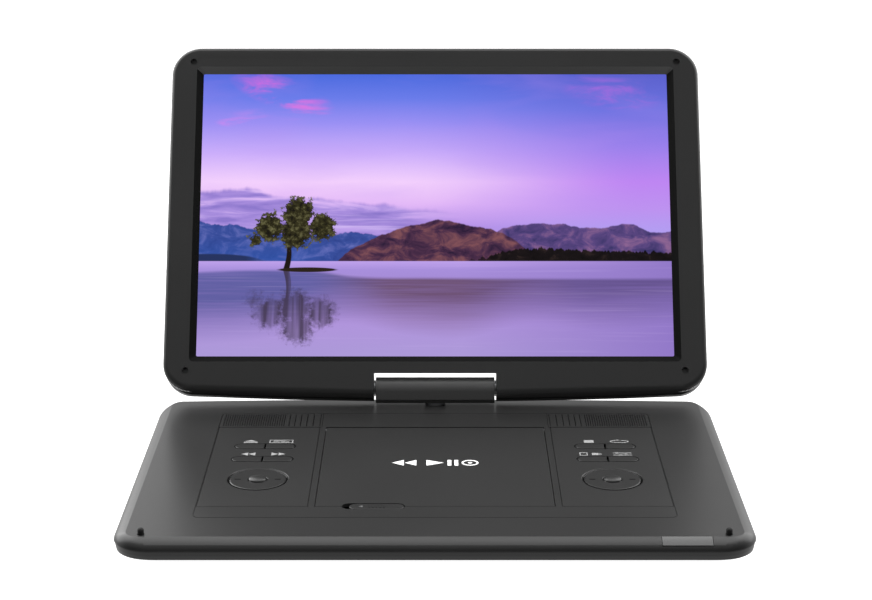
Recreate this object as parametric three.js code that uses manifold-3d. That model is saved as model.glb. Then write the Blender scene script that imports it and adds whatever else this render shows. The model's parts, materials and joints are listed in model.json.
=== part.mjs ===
// A portable disc player: a flat base with a disc lid, side control panels and speakers,
// and a wide display that tilts and swivels on a central hinge block.
// Millimetres, +Z up, front towards -Y, centred on X. Built open, then placed so that the
// origin is under the middle of the whole object.
import * as THREE from "three";
import { mergeVertices } from "three/addons/utils/BufferGeometryUtils.js";
import Module from "manifold-3d";

const wasm = await Module();
wasm.setup();

// ---------------------------------------------------------------- driving dimensions
const GAP = 0.3; // between pieces that touch
const LINE = 0.45; // visible parting line on the deck
const WALL = 2.2; // moulded wall
const BOW_POINTS = 9; // points along a bowed edge
const CORNER_STEPS = 12; // facets round a quarter turn

const LID_WIDTH = 145.5;
const LID_DEPTH = 142.6;
const LID_TO_PANEL = 4.75;
const PANEL_WIDTH = 67.5;
const SIDE_RIM = 45;
const FRONT_RIM = 37.2;
const APRON = 18.5; // frame line to the lid's front edge
const GRILLE_DEPTH = 28.1;
const REAR_RIM = 33.6;

const BASE_HEIGHT = 25;
const BASE_CORNER = 22;
const DECK_CORNER = 8; // corner of the flat top inside the bevel
const BASE_BOW = 4; // the rear edge swells backwards in the middle
const BEVEL_WIDTH = 8;
const BEVEL_DROP = 6;
const REAR_BEVEL = 4;
const BEVEL_START = 25; // the bevel's arc, in degrees from level, before it is stretched to size
const BEVEL_END = 85;
const SEAM_DROP = 6.4;
const RIM_HEIGHT = 5.5; // the front's upright rim below the seam
const HULL_RUN = 24; // below that rim the underside slopes back by this much more than the sides
const FOOT_HEIGHT = 2;
const FOOT_RADIUS = 7;
const FOOT_INSET = 34;
const FRONT_FOOT_MARGIN = 6; // from the foot of the slope

const SIDE_MARGIN = 2.5; // closed display inside the base's outline
const FRONT_MARGIN = 1.3;
const SCREEN_THICKNESS = 17;
const SCREEN_CORNER = 20;
const SCREEN_BOW = 3.5;
const FOOT_CLEARANCE = 2.2; // under the upright display's lower edge
const SCREEN_EDGE = 2.6;
const BEZEL_DEPTH = 5;
const SIDE_BEZEL = 21.9;
const TOP_BEZEL = 18.7;
const BOTTOM_BEZEL = 21.3; // hinge axis to the lit area
const WINDOW_BEVEL = 4.5;
const WINDOW_DEPTH = 4;
const PANEL_THICKNESS = 2.9;

const HINGE_FROM_REAR = 12;
const AXIS_TO_REAR = 7.25; // tilt axis to the display's rear face
const CLOSED_GAP = 1.25; // between the closed display and the deck
const BLOCK_WIDTH = 82;
const BLOCK_RADIUS = 7.65;
const COLLAR_HEIGHT = 2.7; // block's underside above the deck
const BLOCK_END_GAP = 1.3;
const BLOCK_TOP_GAP = 0.85;
const NOTCH_SLOPE = 0.22; // the notch's ceiling rises towards the rear by this share of its depth
const SHAFT_RADIUS = 2.5;
const KNUCKLE_RADIUS = 5.5;
const POST_RADIUS = 4.5;
const COLLAR_RADIUS = 7.25;
const LEAN = 30; // display leans back from upright

const KEY_PAIR = 39;
const KEY_DEPTH = 8.6;
const KEY_SPLIT = 1.2;
const KEY_ROWS = [36.9, 60.7]; // from the panel's rear edge
const RING_FROM_REAR = 96.7;
const DISH_RADIUS = 19.5;
const RING_RADIUS = 17.9;
const CENTER_RADIUS = 5.85;
const KEY_FOOT = 7.6; // key length below the deck

const SLIDER_LENGTH = 33.4;
const SLIDER_DEPTH = 8.6;
const SLIDER_TRAVEL = 4;
const SLIDER_OFFSET = -37.4;

const PEG_RADIUS = 1.9;
const PEG_HEIGHT = 3.8;
const PEG_INSET = 17.5;
const PEG_FROM_TOP = 10.5; // down from the display's top edge

const DISC_RADIUS = 60;
const TURNTABLE_RADIUS = 13;
const SLED_TRAVEL = 25;
const RAIL_RADIUS = 1.5;

const IR_WIDTH = 30.2;
const IR_FROM_SIDE = 27.5;

const PORT_INSET = 3.8; // port bay face inside the base's side
const PORT_ABOVE_MIDDLE = 1.7; // port centre line above the middle of the lower shell

// ---------------------------------------------------------------- derived places
const BASE_WIDTH = LID_WIDTH + 2 * (LID_TO_PANEL + PANEL_WIDTH + SIDE_RIM);
const LID_FRONT = FRONT_RIM + APRON;
const LID_REAR = LID_FRONT + LID_DEPTH;
const FRAME_REAR = LID_REAR + GRILLE_DEPTH;
const BASE_DEPTH = FRAME_REAR + REAR_RIM;
const BOTTOM_Z = FOOT_HEIGHT;
const TOP_Z = BOTTOM_Z + BASE_HEIGHT;
const SEAM_Z = TOP_Z - SEAM_DROP;
const FLOOR_Z = BOTTOM_Z + WALL; // inside of the lower shell
const PORT_Z = (BOTTOM_Z + SEAM_Z) / 2 + PORT_ABOVE_MIDDLE;
const PANEL_X = LID_WIDTH / 2 + LID_TO_PANEL; // inner edge of a control panel
const FRAME_X = PANEL_X + PANEL_WIDTH;
const PANEL_MID = (PANEL_X + FRAME_X) / 2;
const HINGE_Y = BASE_DEPTH - HINGE_FROM_REAR;
const AXIS_BEHIND_FRONT = SCREEN_THICKNESS - AXIS_TO_REAR;
const AXIS_HEIGHT = AXIS_BEHIND_FRONT + CLOSED_GAP; // above the deck
const BLOCK_BELOW_AXIS = AXIS_HEIGHT - COLLAR_HEIGHT;
const SCREEN_BELOW_AXIS = AXIS_HEIGHT - SCREEN_BOW - FOOT_CLEARANCE;
const AXIS_Z = TOP_Z + AXIS_HEIGHT;
const SCREEN_WIDTH = BASE_WIDTH - 2 * SIDE_MARGIN;
const SCREEN_TOP = HINGE_Y - FRONT_MARGIN; // hinge axis to the display's top edge
const SCREEN_FRONT = AXIS_BEHIND_FRONT;
const SCREEN_REAR = AXIS_BEHIND_FRONT - SCREEN_THICKNESS;
const SPLIT = SCREEN_FRONT - BEZEL_DEPTH;
const NOTCH_X = BLOCK_WIDTH / 2 + BLOCK_END_GAP;
const NOTCH_TOP = BLOCK_RADIUS + BLOCK_TOP_GAP; // at the display's front face
const LIT_X = SCREEN_WIDTH / 2 - SIDE_BEZEL;
const LIT_TOP = SCREEN_TOP - TOP_BEZEL;
const LIT_BOTTOM = BOTTOM_BEZEL;
const DISC_Y = (LID_FRONT + LID_REAR) / 2;

// ---------------------------------------------------------------- materials
function material(color, roughness, metalness = 0) {
  return new THREE.MeshStandardMaterial({ color, roughness, metalness });
}
const shellPlastic = material(0x2a2a2c, 0.42);
const panelPlastic = material(0x252527, 0.5);
const keyPlastic = material(0x2e2e30, 0.4);
const chassisPlastic = material(0x1b1b1d, 0.6);
const glossPlastic = material(0x08080a, 0.12);
const displayGlass = material(0x4a55a0, 0.2);
const rubber = material(0x141414, 0.8);
const steel = material(0x8d9095, 0.35, 1);
const boardGreen = material(0x1f5a38, 0.55);
const batteryWrap = material(0x2b4f8c, 0.5);
const windowPlastic = material(0x3c3c40, 0.25);

// ---------------------------------------------------------------- geometry helpers
/** A closed geometry as a manifold solid. */
function solid(geometry) {
  const bare = geometry.index ? geometry.toNonIndexed() : geometry;
  const shell = new THREE.BufferGeometry();
  shell.setAttribute("position", bare.getAttribute("position"));
  const merged = mergeVertices(shell, 1e-4);
  return new wasm.Manifold(
    new wasm.Mesh({
      numProp: 3,
      vertProperties: merged.attributes.position.array,
      triVerts: new Uint32Array(merged.index.array),
    }),
  );
}

/** A manifold solid back as a geometry. */
function geometryOf(made) {
  const mesh = made.getMesh();
  const geometry = new THREE.BufferGeometry();
  geometry.setAttribute("position", new THREE.BufferAttribute(mesh.vertProperties, 3));
  geometry.setIndex(new THREE.BufferAttribute(mesh.triVerts, 1));
  const flat = geometry.toNonIndexed();
  flat.computeVertexNormals();
  return flat;
}

function box(x0, x1, y0, y1, z0, z1) {
  const geometry = new THREE.BoxGeometry(x1 - x0, y1 - y0, z1 - z0);
  return solid(geometry.translate((x0 + x1) / 2, (y0 + y1) / 2, (z0 + z1) / 2));
}

/** A flat outline raised from z0 to z1. */
function prism(points, z0, z1) {
  const geometry = new THREE.ExtrudeGeometry(new THREE.Shape(points), {
    depth: z1 - z0,
    bevelEnabled: false,
  });
  return solid(geometry.translate(0, 0, z0));
}

/** An outline of (y, z) points carried along X. */
function bar(points, x0, x1) {
  const geometry = new THREE.ExtrudeGeometry(new THREE.Shape(points), {
    depth: x1 - x0,
    bevelEnabled: false,
  });
  // the outline's x, y become y, z, and its depth becomes x
  const turn = new THREE.Matrix4().makeBasis(
    new THREE.Vector3(0, 1, 0),
    new THREE.Vector3(0, 0, 1),
    new THREE.Vector3(1, 0, 0),
  );
  return solid(geometry.applyMatrix4(turn).translate(x0, 0, 0));
}

/** A solid of revolution about Z through (x, y), from (radius, z) points that start and end on the axis. */
function turned(profile, x = 0, y = 0, sides = 24) {
  const points = profile.map(([r, z]) => new THREE.Vector2(r, z));
  const geometry = new THREE.LatheGeometry(points, sides);
  return solid(geometry.rotateX(Math.PI / 2).translate(x, y, 0));
}

function disc(radius, z0, z1, x = 0, y = 0, sides = 24) {
  return turned([[0, z0], [radius, z0], [radius, z1], [0, z1]], x, y, sides);
}

/** A round rod along X. */
function rodX(radius, x0, x1, y, z, sides = 20) {
  const geometry = new THREE.CylinderGeometry(radius, radius, x1 - x0, sides);
  return solid(geometry.rotateZ(Math.PI / 2).translate((x0 + x1) / 2, y, z));
}

/** A round rod along Y. */
function rodY(radius, y0, y1, x, z, sides = 12) {
  const geometry = new THREE.CylinderGeometry(radius, radius, y1 - y0, sides);
  return solid(geometry.translate(x, (y0 + y1) / 2, z));
}

/** Points of an arc about (cx, cy), in degrees. */
function arc(cx, cy, radius, from, to, steps) {
  return Array.from({ length: steps + 1 }, (_, i) => {
    const angle = THREE.MathUtils.degToRad(from + ((to - from) * i) / steps);
    return new THREE.Vector2(cx + radius * Math.cos(angle), cy + radius * Math.sin(angle));
  });
}

/** A rounded rectangle, anticlockwise, whose near or far edge may swell by a bow. */
function outline({ x, near, far, radius, nearBow = 0, farBow = 0, steps = CORNER_STEPS }) {
  const run = x - radius;
  const swell = (edge, bow, sign) =>
    bow === 0
      ? []
      : Array.from({ length: BOW_POINTS }, (_, i) => {
          const across = sign * (-1 + (2 * (i + 1)) / (BOW_POINTS + 1));
          return new THREE.Vector2(run * across, edge - bow * across * across);
        });
  const nearCorner = near + nearBow + radius;
  const farCorner = far - farBow - radius;
  return [
    ...arc(-run, nearCorner, radius, 180, 270, steps),
    ...swell(near, -nearBow, 1),
    ...arc(run, nearCorner, radius, 270, 360, steps),
    ...arc(run, farCorner, radius, 0, 90, steps),
    ...swell(far, farBow, -1),
    ...arc(-run, farCorner, radius, 90, 180, steps),
  ];
}

/** A closed skin through outlines of equal point count, from the lowest level to the highest. */
function loft(rings) {
  const count = rings[0].points.length;
  const corners = rings.flatMap(({ points, z }) => points.map((p) => [p.x, p.y, z]));
  const faces = [];
  for (let k = 0; k + 1 < rings.length; k++)
    for (let i = 0; i < count; i++) {
      const a = k * count + i;
      const b = k * count + ((i + 1) % count);
      faces.push([a, b, b + count], [a, b + count, a + count]);
    }
  const last = (rings.length - 1) * count;
  for (const [p, q, r] of THREE.ShapeUtils.triangulateShape(rings[0].points, []))
    faces.push([r, q, p]);
  for (const [p, q, r] of THREE.ShapeUtils.triangulateShape(rings.at(-1).points, []))
    faces.push([last + p, last + q, last + r]);
  const geometry = new THREE.BufferGeometry();
  geometry.setAttribute("position", new THREE.Float32BufferAttribute(corners.flat(), 3));
  geometry.setIndex(faces.flat());
  return solid(geometry);
}

/** A stadium, its long way along X. */
function pill(cx, cy, length, width) {
  const radius = width / 2;
  const run = length / 2 - radius;
  return [
    ...arc(cx + run, cy, radius, -90, 90, 6),
    ...arc(cx - run, cy, radius, 90, 270, 6),
  ];
}

/** How far a quarter-ellipse edge lies inside the widest outline, at a depth below its face. */
function edgeInset(depth, width, drop) {
  const left = Math.min(Math.max(1 - depth / drop, 0), 1);
  return width * (1 - Math.sqrt(1 - left * left));
}

const player = new THREE.Group();
const screen = new THREE.Group();
const hinge = new THREE.Group();
player.add(screen, hinge);

function piece(name, made, finish, group = player) {
  const mesh = new THREE.Mesh(geometryOf(made), finish);
  mesh.name = name;
  group.add(mesh);
}

const SIDES = [
  ["left", -1],
  ["right", 1],
];

// ---------------------------------------------------------------- base outline
function baseRing(z, inset, rearInset, radius, frontInset = inset) {
  return {
    z,
    points: outline({
      x: BASE_WIDTH / 2 - inset,
      near: frontInset,
      far: BASE_DEPTH - rearInset,
      radius,
      farBow: BASE_BOW,
    }),
  };
}

/** A place on the bevel's arc, as shares of its width and its drop: (0, 0) at the deck, (1, 1) at the foot. */
function bevelPlace(share) {
  const [start, end, turn] = [0, 1, share].map((part) =>
    THREE.MathUtils.degToRad(BEVEL_START + part * (BEVEL_END - BEVEL_START)),
  );
  return {
    across: (Math.sin(turn) - Math.sin(start)) / (Math.sin(end) - Math.sin(start)),
    down: (Math.cos(start) - Math.cos(turn)) / (Math.cos(start) - Math.cos(end)),
  };
}

/** Upper half's outer form, shrunk by a wall: bevelled round the top and open to below. */
function upperForm(wall, lowest) {
  const rings = [baseRing(lowest, wall, wall, BASE_CORNER - wall)];
  for (const share of [1, 0.86, 0.72, 0.58, 0.44, 0.3, 0.15, 0]) {
    const { across, down } = bevelPlace(share);
    const inset = (1 - across) * BEVEL_WIDTH;
    const rear = (1 - across) * REAR_BEVEL;
    const radius = BASE_CORNER - (1 - across) * (BASE_CORNER - DECK_CORNER);
    const z = TOP_Z - wall - down * (BEVEL_DROP - (wall ? 1 : 0));
    rings.push(baseRing(z, inset + wall, rear + wall, Math.max(radius - wall, 2)));
  }
  return loft(rings);
}

// the lower half's section at the sides and rear: height and inset, for a half 18.6 deep
const lowerSection = [
  [0, 13],
  [1.2, 10.6],
  [3, 7.9],
  [5.5, 5.2],
  [9, 2.8],
  [13, 1.2],
  [15.5, 0.8],
  [18, 0.5],
];
const sectionDepth = 18.6;
const rimFoot = sectionDepth - RIM_HEIGHT;

/** How far the front lies inside the base's outline: it slopes back below its rim. */
function frontInset(up, inset) {
  return inset + (Math.max(rimFoot - up, 0) / rimFoot) * HULL_RUN;
}

/** Lower half's outer form, shrunk by a wall: upright at the seam, then drawn in underneath. */
function lowerForm(wall, highest) {
  const rings = lowerSection.map(([up, inset]) => {
    const z = BOTTOM_Z + wall + up * ((SEAM_Z - BOTTOM_Z) / sectionDepth);
    return baseRing(z, inset + wall, inset + wall, BASE_CORNER - wall, frontInset(up, inset) + wall);
  });
  const seamInset = lowerSection[lowerSection.length - 1][1] + wall;
  rings.push(baseRing(highest, seamInset, seamInset, BASE_CORNER - wall));
  return loft(rings);
}

// ---------------------------------------------------------------- base shells
const lidOpening = {
  x: LID_WIDTH / 2 + LINE,
  front: LID_FRONT - LINE,
  rear: LID_REAR + LINE,
};
const sliderRoom = { end: 0.6, side: 0.5 };
const sliderSlotLength = SLIDER_LENGTH + SLIDER_TRAVEL + 2 * sliderRoom.end;
const sliderSlot = pill(SLIDER_OFFSET, LID_FRONT, sliderSlotLength, SLIDER_DEPTH + 2 * sliderRoom.side);
const lidAxis = { radius: 1.7, y: LID_REAR - 1.7, z: TOP_Z - 1.7 };
const lidPin = { radius: 0.8, length: 9 };
const irWindow = { x0: BASE_WIDTH / 2 - IR_FROM_SIDE - IR_WIDTH, x1: BASE_WIDTH / 2 - IR_FROM_SIDE, drop: 3.6 };
const pegX = SCREEN_WIDTH / 2 + SIDE_MARGIN - PEG_INSET;
const pegY = HINGE_Y - (SCREEN_TOP - PEG_FROM_TOP);
const panelDepth = 1.2;
const frameCorner = 4;
const grille = { y0: LID_REAR + LINE, y1: FRAME_REAR, x0: PANEL_X - 1.2, x1: FRAME_X };

/** The line round the control panels and grilles, grown by a margin, as a prism. */
function framePrism(grow, z0, z1) {
  const form = { x: FRAME_X + grow, far: FRAME_REAR + grow, radius: frameCorner + grow };
  return prism(outline({ ...form, near: FRONT_RIM + LINE - grow, steps: 6 }), z0, z1);
}

/** One side's boxes and outlines are given for the right, and mirrored for the left. */
function sideBox(sign, x0, x1, y0, y1, z0, z1) {
  return sign > 0 ? box(x0, x1, y0, y1, z0, z1) : box(-x1, -x0, y0, y1, z0, z1);
}

let upperShell = upperForm(0, SEAM_Z + GAP).subtract(upperForm(WALL, SEAM_Z - 5));
upperShell = upperShell.subtract(
  framePrism(LINE, TOP_Z - 0.5, TOP_Z + 1).subtract(framePrism(0, TOP_Z - 1, TOP_Z + 2)),
);
// the well's rim hangs below the deck round the lid and carries the lid's pins
const rimDrop = 5;
upperShell = upperShell.add(
  box(
    -lidOpening.x - WALL,
    lidOpening.x + WALL,
    lidOpening.front - WALL,
    lidOpening.rear + WALL,
    TOP_Z - rimDrop,
    TOP_Z - WALL / 2,
  ),
);
// shelf under the slider
const shelf = { halfX: (SLIDER_LENGTH + SLIDER_TRAVEL) / 2 + 3.3, front: LID_FRONT - 8, bottom: TOP_Z - 4.4 };
upperShell = upperShell.add(
  box(
    SLIDER_OFFSET - shelf.halfX,
    SLIDER_OFFSET + shelf.halfX,
    shelf.front,
    lidOpening.front,
    shelf.bottom,
    TOP_Z - WALL / 2,
  ),
);
upperShell = upperShell.subtract(
  box(-lidOpening.x, lidOpening.x, lidOpening.front, lidOpening.rear, TOP_Z - rimDrop - 1, TOP_Z + 1),
);
upperShell = upperShell.subtract(prism(sliderSlot, TOP_Z - WALL, TOP_Z + 1));
for (const [, sign] of SIDES) {
  upperShell = upperShell.subtract(
    sideBox(sign, PANEL_X - LINE, FRAME_X, LID_FRONT - LINE, LID_REAR, TOP_Z - panelDepth, TOP_Z + 1),
  );
  upperShell = upperShell.subtract(
    sideBox(sign, PANEL_X + 3, FRAME_X - 3.5, LID_FRONT + 3, LID_REAR - 3.5, TOP_Z - 9, TOP_Z),
  );
  upperShell = upperShell.subtract(
    sideBox(
      sign,
      grille.x0 - GAP,
      grille.x1 + LINE,
      grille.y0 - LINE,
      grille.y1 + LINE,
      TOP_Z - panelDepth,
      TOP_Z + 1,
    ).intersect(framePrism(LINE, TOP_Z - 2, TOP_Z + 2)),
  );
  upperShell = upperShell.subtract(
    sideBox(sign, grille.x0 + 2, grille.x1 - 2, grille.y0 + 2, grille.y1 - 2, TOP_Z - 9, TOP_Z),
  );
  upperShell = upperShell.subtract(disc(PEG_RADIUS + GAP, TOP_Z - 1.8, TOP_Z + 1, sign * pegX, pegY, 20));
  const pinEnd = lidOpening.x + WALL - 0.4;
  upperShell = upperShell.subtract(
    rodX(lidPin.radius + GAP, Math.min(sign * pinEnd, 0), Math.max(sign * pinEnd, 0), lidAxis.y, lidAxis.z, 12),
  );
}
upperShell = upperShell.subtract(
  box(irWindow.x0, irWindow.x1, -1, BEVEL_WIDTH + 0.6, TOP_Z - irWindow.drop, TOP_Z + 1),
);
upperShell = upperShell.subtract(disc(POST_RADIUS + 0.5, TOP_Z - 9, TOP_Z + 1, 0, HINGE_Y));
piece("base_upper_shell", upperShell, shellPlastic);

const windowBlank = box(
  irWindow.x0 + GAP,
  irWindow.x1 - GAP,
  -1,
  BEVEL_WIDTH + 0.3,
  TOP_Z - irWindow.drop + GAP,
  TOP_Z + 1,
);
piece("ir_window", upperForm(0, SEAM_Z + GAP).intersect(windowBlank), windowPlastic);

const bay = { x: BASE_WIDTH / 2 - PORT_INSET, z0: PORT_Z - 4.4, z1: PORT_Z + 4.4, wall: 3.6 };
const bays = { left: [LID_REAR - 84, LID_REAR + 14], right: [LID_REAR - 72, LID_REAR + 14] };
const portReach = 5; // port cuts run this far inside the bay's wall
const ports = {
  dc_jack: { sign: 1, y: LID_REAR - 20, halfY: 4.6, halfZ: 3.7, bore: 3.0 },
  av_jack: { sign: 1, y: LID_REAR - 40, halfY: 4.2, halfZ: 3.7, bore: 1.9 },
  headphone_jack: { sign: 1, y: LID_REAR - 58, halfY: 4.2, halfZ: 3.7, bore: 1.9 },
  usb_port: { sign: -1, y: LID_REAR - 26, halfY: 7.4, halfZ: 3.6, slotY: 6.3, slotZ: 2.6 },
  card_slot: { sign: -1, y: LID_REAR - 60, halfY: 14, halfZ: 2.6, slotY: 12.3, slotZ: 1.2 },
};
const powerSwitch = { y: LID_REAR + 2, halfY: 3, halfZ: 1.7, travel: 4 };
const volumeWheel = { y: LID_REAR + 2, radius: 8, halfZ: 1.5, inset: 6.4 };

let lowerShell = lowerForm(0, SEAM_Z).subtract(lowerForm(WALL, SEAM_Z + 5));
for (const [side, sign] of SIDES) {
  const [y0, y1] = bays[side];
  const inner = bay.x - bay.wall;
  const block = sideBox(sign, inner, BASE_WIDTH / 2, y0 - 2, y1 + 2, BOTTOM_Z + 1, SEAM_Z - 1);
  lowerShell = lowerShell.add(block.intersect(lowerForm(0, SEAM_Z)));
  lowerShell = lowerShell.subtract(sideBox(sign, bay.x, BASE_WIDTH, y0, y1, bay.z0, bay.z1));
}
for (const { sign, y, halfY, halfZ } of Object.values(ports))
  lowerShell = lowerShell.subtract(
    sideBox(
      sign,
      bay.x - bay.wall - portReach,
      bay.x + 1,
      y - halfY - GAP,
      y + halfY + GAP,
      PORT_Z - halfZ - GAP,
      PORT_Z + halfZ + GAP,
    ),
  );
lowerShell = lowerShell.subtract(
  sideBox(
    1,
    bay.x - bay.wall - portReach,
    bay.x + 1,
    powerSwitch.y - powerSwitch.halfY - GAP,
    powerSwitch.y + powerSwitch.halfY + powerSwitch.travel + GAP,
    PORT_Z - powerSwitch.halfZ - GAP,
    PORT_Z + powerSwitch.halfZ + GAP,
  ),
);
const wheelSlot = Math.sqrt(volumeWheel.radius ** 2 - (volumeWheel.inset - bay.wall) ** 2) + 0.6;
lowerShell = lowerShell.subtract(
  sideBox(
    -1,
    bay.x - bay.wall - portReach,
    bay.x + 1,
    volumeWheel.y - wheelSlot,
    volumeWheel.y + wheelSlot,
    PORT_Z - volumeWheel.halfZ - GAP,
    PORT_Z + volumeWheel.halfZ + GAP,
  ),
);
const frontFootY = frontInset(...lowerSection[0]) + FOOT_RADIUS + FRONT_FOOT_MARGIN;
const feet = [
  ["front_left", -1, frontFootY],
  ["front_right", 1, frontFootY],
  ["rear_left", -1, BASE_DEPTH - BASE_BOW - FOOT_INSET],
  ["rear_right", 1, BASE_DEPTH - BASE_BOW - FOOT_INSET],
];
const footX = BASE_WIDTH / 2 - FOOT_INSET;
for (const [corner, sign, y] of feet) {
  lowerShell = lowerShell.subtract(disc(FOOT_RADIUS + GAP, 0, BOTTOM_Z + 0.9, sign * footX, y, 20));
  piece(`foot_${corner}`, disc(FOOT_RADIUS, 0, BOTTOM_Z + 0.6, sign * footX, y, 20), rubber);
}
piece("base_lower_shell", lowerShell, shellPlastic);

// ---------------------------------------------------------------- ports and side controls
for (const [name, port] of Object.entries(ports)) {
  const { sign, y, halfY, halfZ } = port;
  const face = bay.x - 0.2;
  const depth = 17;
  let jack = sideBox(sign, face - depth, face, y - halfY, y + halfY, PORT_Z - halfZ, PORT_Z + halfZ);
  if (port.bore) {
    const hole = [face - depth + 3, face + 1].map((x) => sign * x);
    jack = jack.subtract(rodX(port.bore, Math.min(...hole), Math.max(...hole), y, PORT_Z, 20));
  } else {
    jack = jack.subtract(
      sideBox(
        sign,
        face - depth + 2,
        face + 1,
        y - port.slotY,
        y + port.slotY,
        PORT_Z - port.slotZ,
        PORT_Z + port.slotZ,
      ),
    );
  }
  piece(name, jack, port.bore ? chassisPlastic : steel);
}
piece(
  "power_switch",
  box(
    bay.x - bay.wall - 2,
    bay.x + 1.2,
    powerSwitch.y - powerSwitch.halfY,
    powerSwitch.y + powerSwitch.halfY,
    PORT_Z - powerSwitch.halfZ,
    PORT_Z + powerSwitch.halfZ,
  ),
  keyPlastic,
);
const wheelX = -(bay.x - volumeWheel.inset);
piece(
  "volume_wheel",
  disc(volumeWheel.radius, PORT_Z - volumeWheel.halfZ, PORT_Z + volumeWheel.halfZ, wheelX, volumeWheel.y, 24),
  keyPlastic,
);

// ---------------------------------------------------------------- control panels and grilles
const keyBottom = TOP_Z - KEY_FOOT;
const ringFoot = TOP_Z - KEY_FOOT;
const keyRest = 0.15; // keys stand this far above the deck
const keyClear = 0.35;
const dishDepth = 1;
for (const [side, sign] of SIDES) {
  const middle = sign * PANEL_MID;
  const panelBottom = TOP_Z - panelDepth + GAP;
  let panel = sideBox(sign, PANEL_X, FRAME_X - LINE, LID_FRONT, LID_REAR - LINE, panelBottom, TOP_Z);
  for (const row of KEY_ROWS)
    panel = panel.subtract(
      prism(
        pill(middle, LID_REAR - row, KEY_PAIR + 2 * keyClear, KEY_DEPTH + 2 * keyClear),
        TOP_Z - 3,
        TOP_Z + 1,
      ),
    );
  const ringY = LID_REAR - RING_FROM_REAR;
  panel = panel.subtract(
    turned(
      [
        [0, TOP_Z - 3],
        [RING_RADIUS + keyClear, TOP_Z - 3],
        [RING_RADIUS + keyClear, TOP_Z - dishDepth],
        [DISH_RADIUS, TOP_Z],
        [DISH_RADIUS, TOP_Z + 1],
        [0, TOP_Z + 1],
      ],
      middle,
      ringY,
      36,
    ),
  );
  piece(`control_panel_${side}`, panel, panelPlastic);

  const rows = ["upper", "lower"];
  rows.forEach((rowName, index) => {
    const y = LID_REAR - KEY_ROWS[index];
    const pair = prism(pill(middle, y, KEY_PAIR, KEY_DEPTH), keyBottom, TOP_Z + keyRest);
    for (const [half, way] of SIDES) {
      const edge = middle + (way * KEY_SPLIT) / 2;
      const far = middle + way * KEY_PAIR;
      const keep = box(Math.min(edge, far), Math.max(edge, far), y - KEY_DEPTH, y + KEY_DEPTH, 0, TOP_Z + 9);
      piece(`key_${side}_${rowName}_${half}`, pair.intersect(keep), keyPlastic);
    }
  });

  const ringTop = TOP_Z - 0.2;
  const ring = turned(
    [
      [0, ringFoot],
      [RING_RADIUS, ringFoot],
      [RING_RADIUS, ringTop - 0.5],
      [RING_RADIUS - 0.6, ringTop],
      [0, ringTop],
    ],
    middle,
    ringY,
    48,
  ).subtract(disc(CENTER_RADIUS + keyClear, 0, TOP_Z + 1, middle, ringY, 32));
  piece(`navigation_ring_${side}`, ring, keyPlastic);
  const centre = turned(
    [
      [0, ringFoot],
      [CENTER_RADIUS, ringFoot],
      [CENTER_RADIUS, ringTop - 0.1],
      [CENTER_RADIUS - 0.6, ringTop + 0.2],
      [0, ringTop + 0.3],
    ],
    middle,
    ringY,
    24,
  );
  piece(`center_button_${side}`, centre, keyPlastic);
  piece(
    `control_board_${side}`,
    sideBox(
      sign,
      PANEL_X + 5,
      FRAME_X - 5,
      ringY - 24,
      LID_REAR - 18,
      keyBottom - 2.6,
      keyBottom - 1,
    ),
    boardGreen,
  );

  // perforated strip over the speaker: close slots outside, wide-set slots towards the lid
  let strip = sideBox(
    sign,
    grille.x0,
    grille.x1,
    grille.y0,
    grille.y1,
    TOP_Z - panelDepth + GAP,
    TOP_Z,
  ).intersect(framePrism(0, TOP_Z - 2, TOP_Z + 2));
  const slotWidth = 0.55;
  const slotPitch = 1.56;
  const denseEdge = FRAME_X - 2.2;
  const slots = Array.from({ length: 27 }, (_, i) => denseEdge - i * slotPitch);
  const lastDense = slots.at(-1);
  let step = 3.5;
  for (let x = lastDense - step; x > grille.x0 + 1.5; x -= step) {
    slots.push(x);
    step += 0.22;
  }
  for (const x of slots)
    strip = strip.subtract(
      sideBox(sign, x - slotWidth, x, grille.y0 + 1.6, grille.y1 - 2.2, TOP_Z - 3, TOP_Z + 1),
    );
  piece(`speaker_grille_${side}`, strip, panelPlastic);

  const speaker = { x0: grille.x0 + 14, x1: grille.x1 - 8, y0: grille.y0 + 1.5, y1: grille.y1 - 1.5 };
  const driver = sideBox(sign, speaker.x0, speaker.x1, speaker.y0, speaker.y1, TOP_Z - 15, TOP_Z - WALL - 0.6);
  const cone = outline({
    x: (speaker.x1 - speaker.x0) / 2 - 3,
    near: speaker.y0 + 2.5,
    far: speaker.y1 - 2.5,
    radius: 8,
    steps: 5,
  }).map((p) => new THREE.Vector2(p.x + (sign * (speaker.x0 + speaker.x1)) / 2, p.y));
  piece(`speaker_${side}`, driver.subtract(prism(cone, TOP_Z - 8, TOP_Z)), chassisPlastic);
}

// ---------------------------------------------------------------- disc lid and its catch
const lidThickness = WALL;
let lid = box(
  -LID_WIDTH / 2,
  LID_WIDTH / 2,
  LID_FRONT,
  lidAxis.y,
  TOP_Z - lidThickness,
  TOP_Z,
).add(rodX(lidAxis.radius, -LID_WIDTH / 2, LID_WIDTH / 2, lidAxis.y, lidAxis.z, 24));
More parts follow.
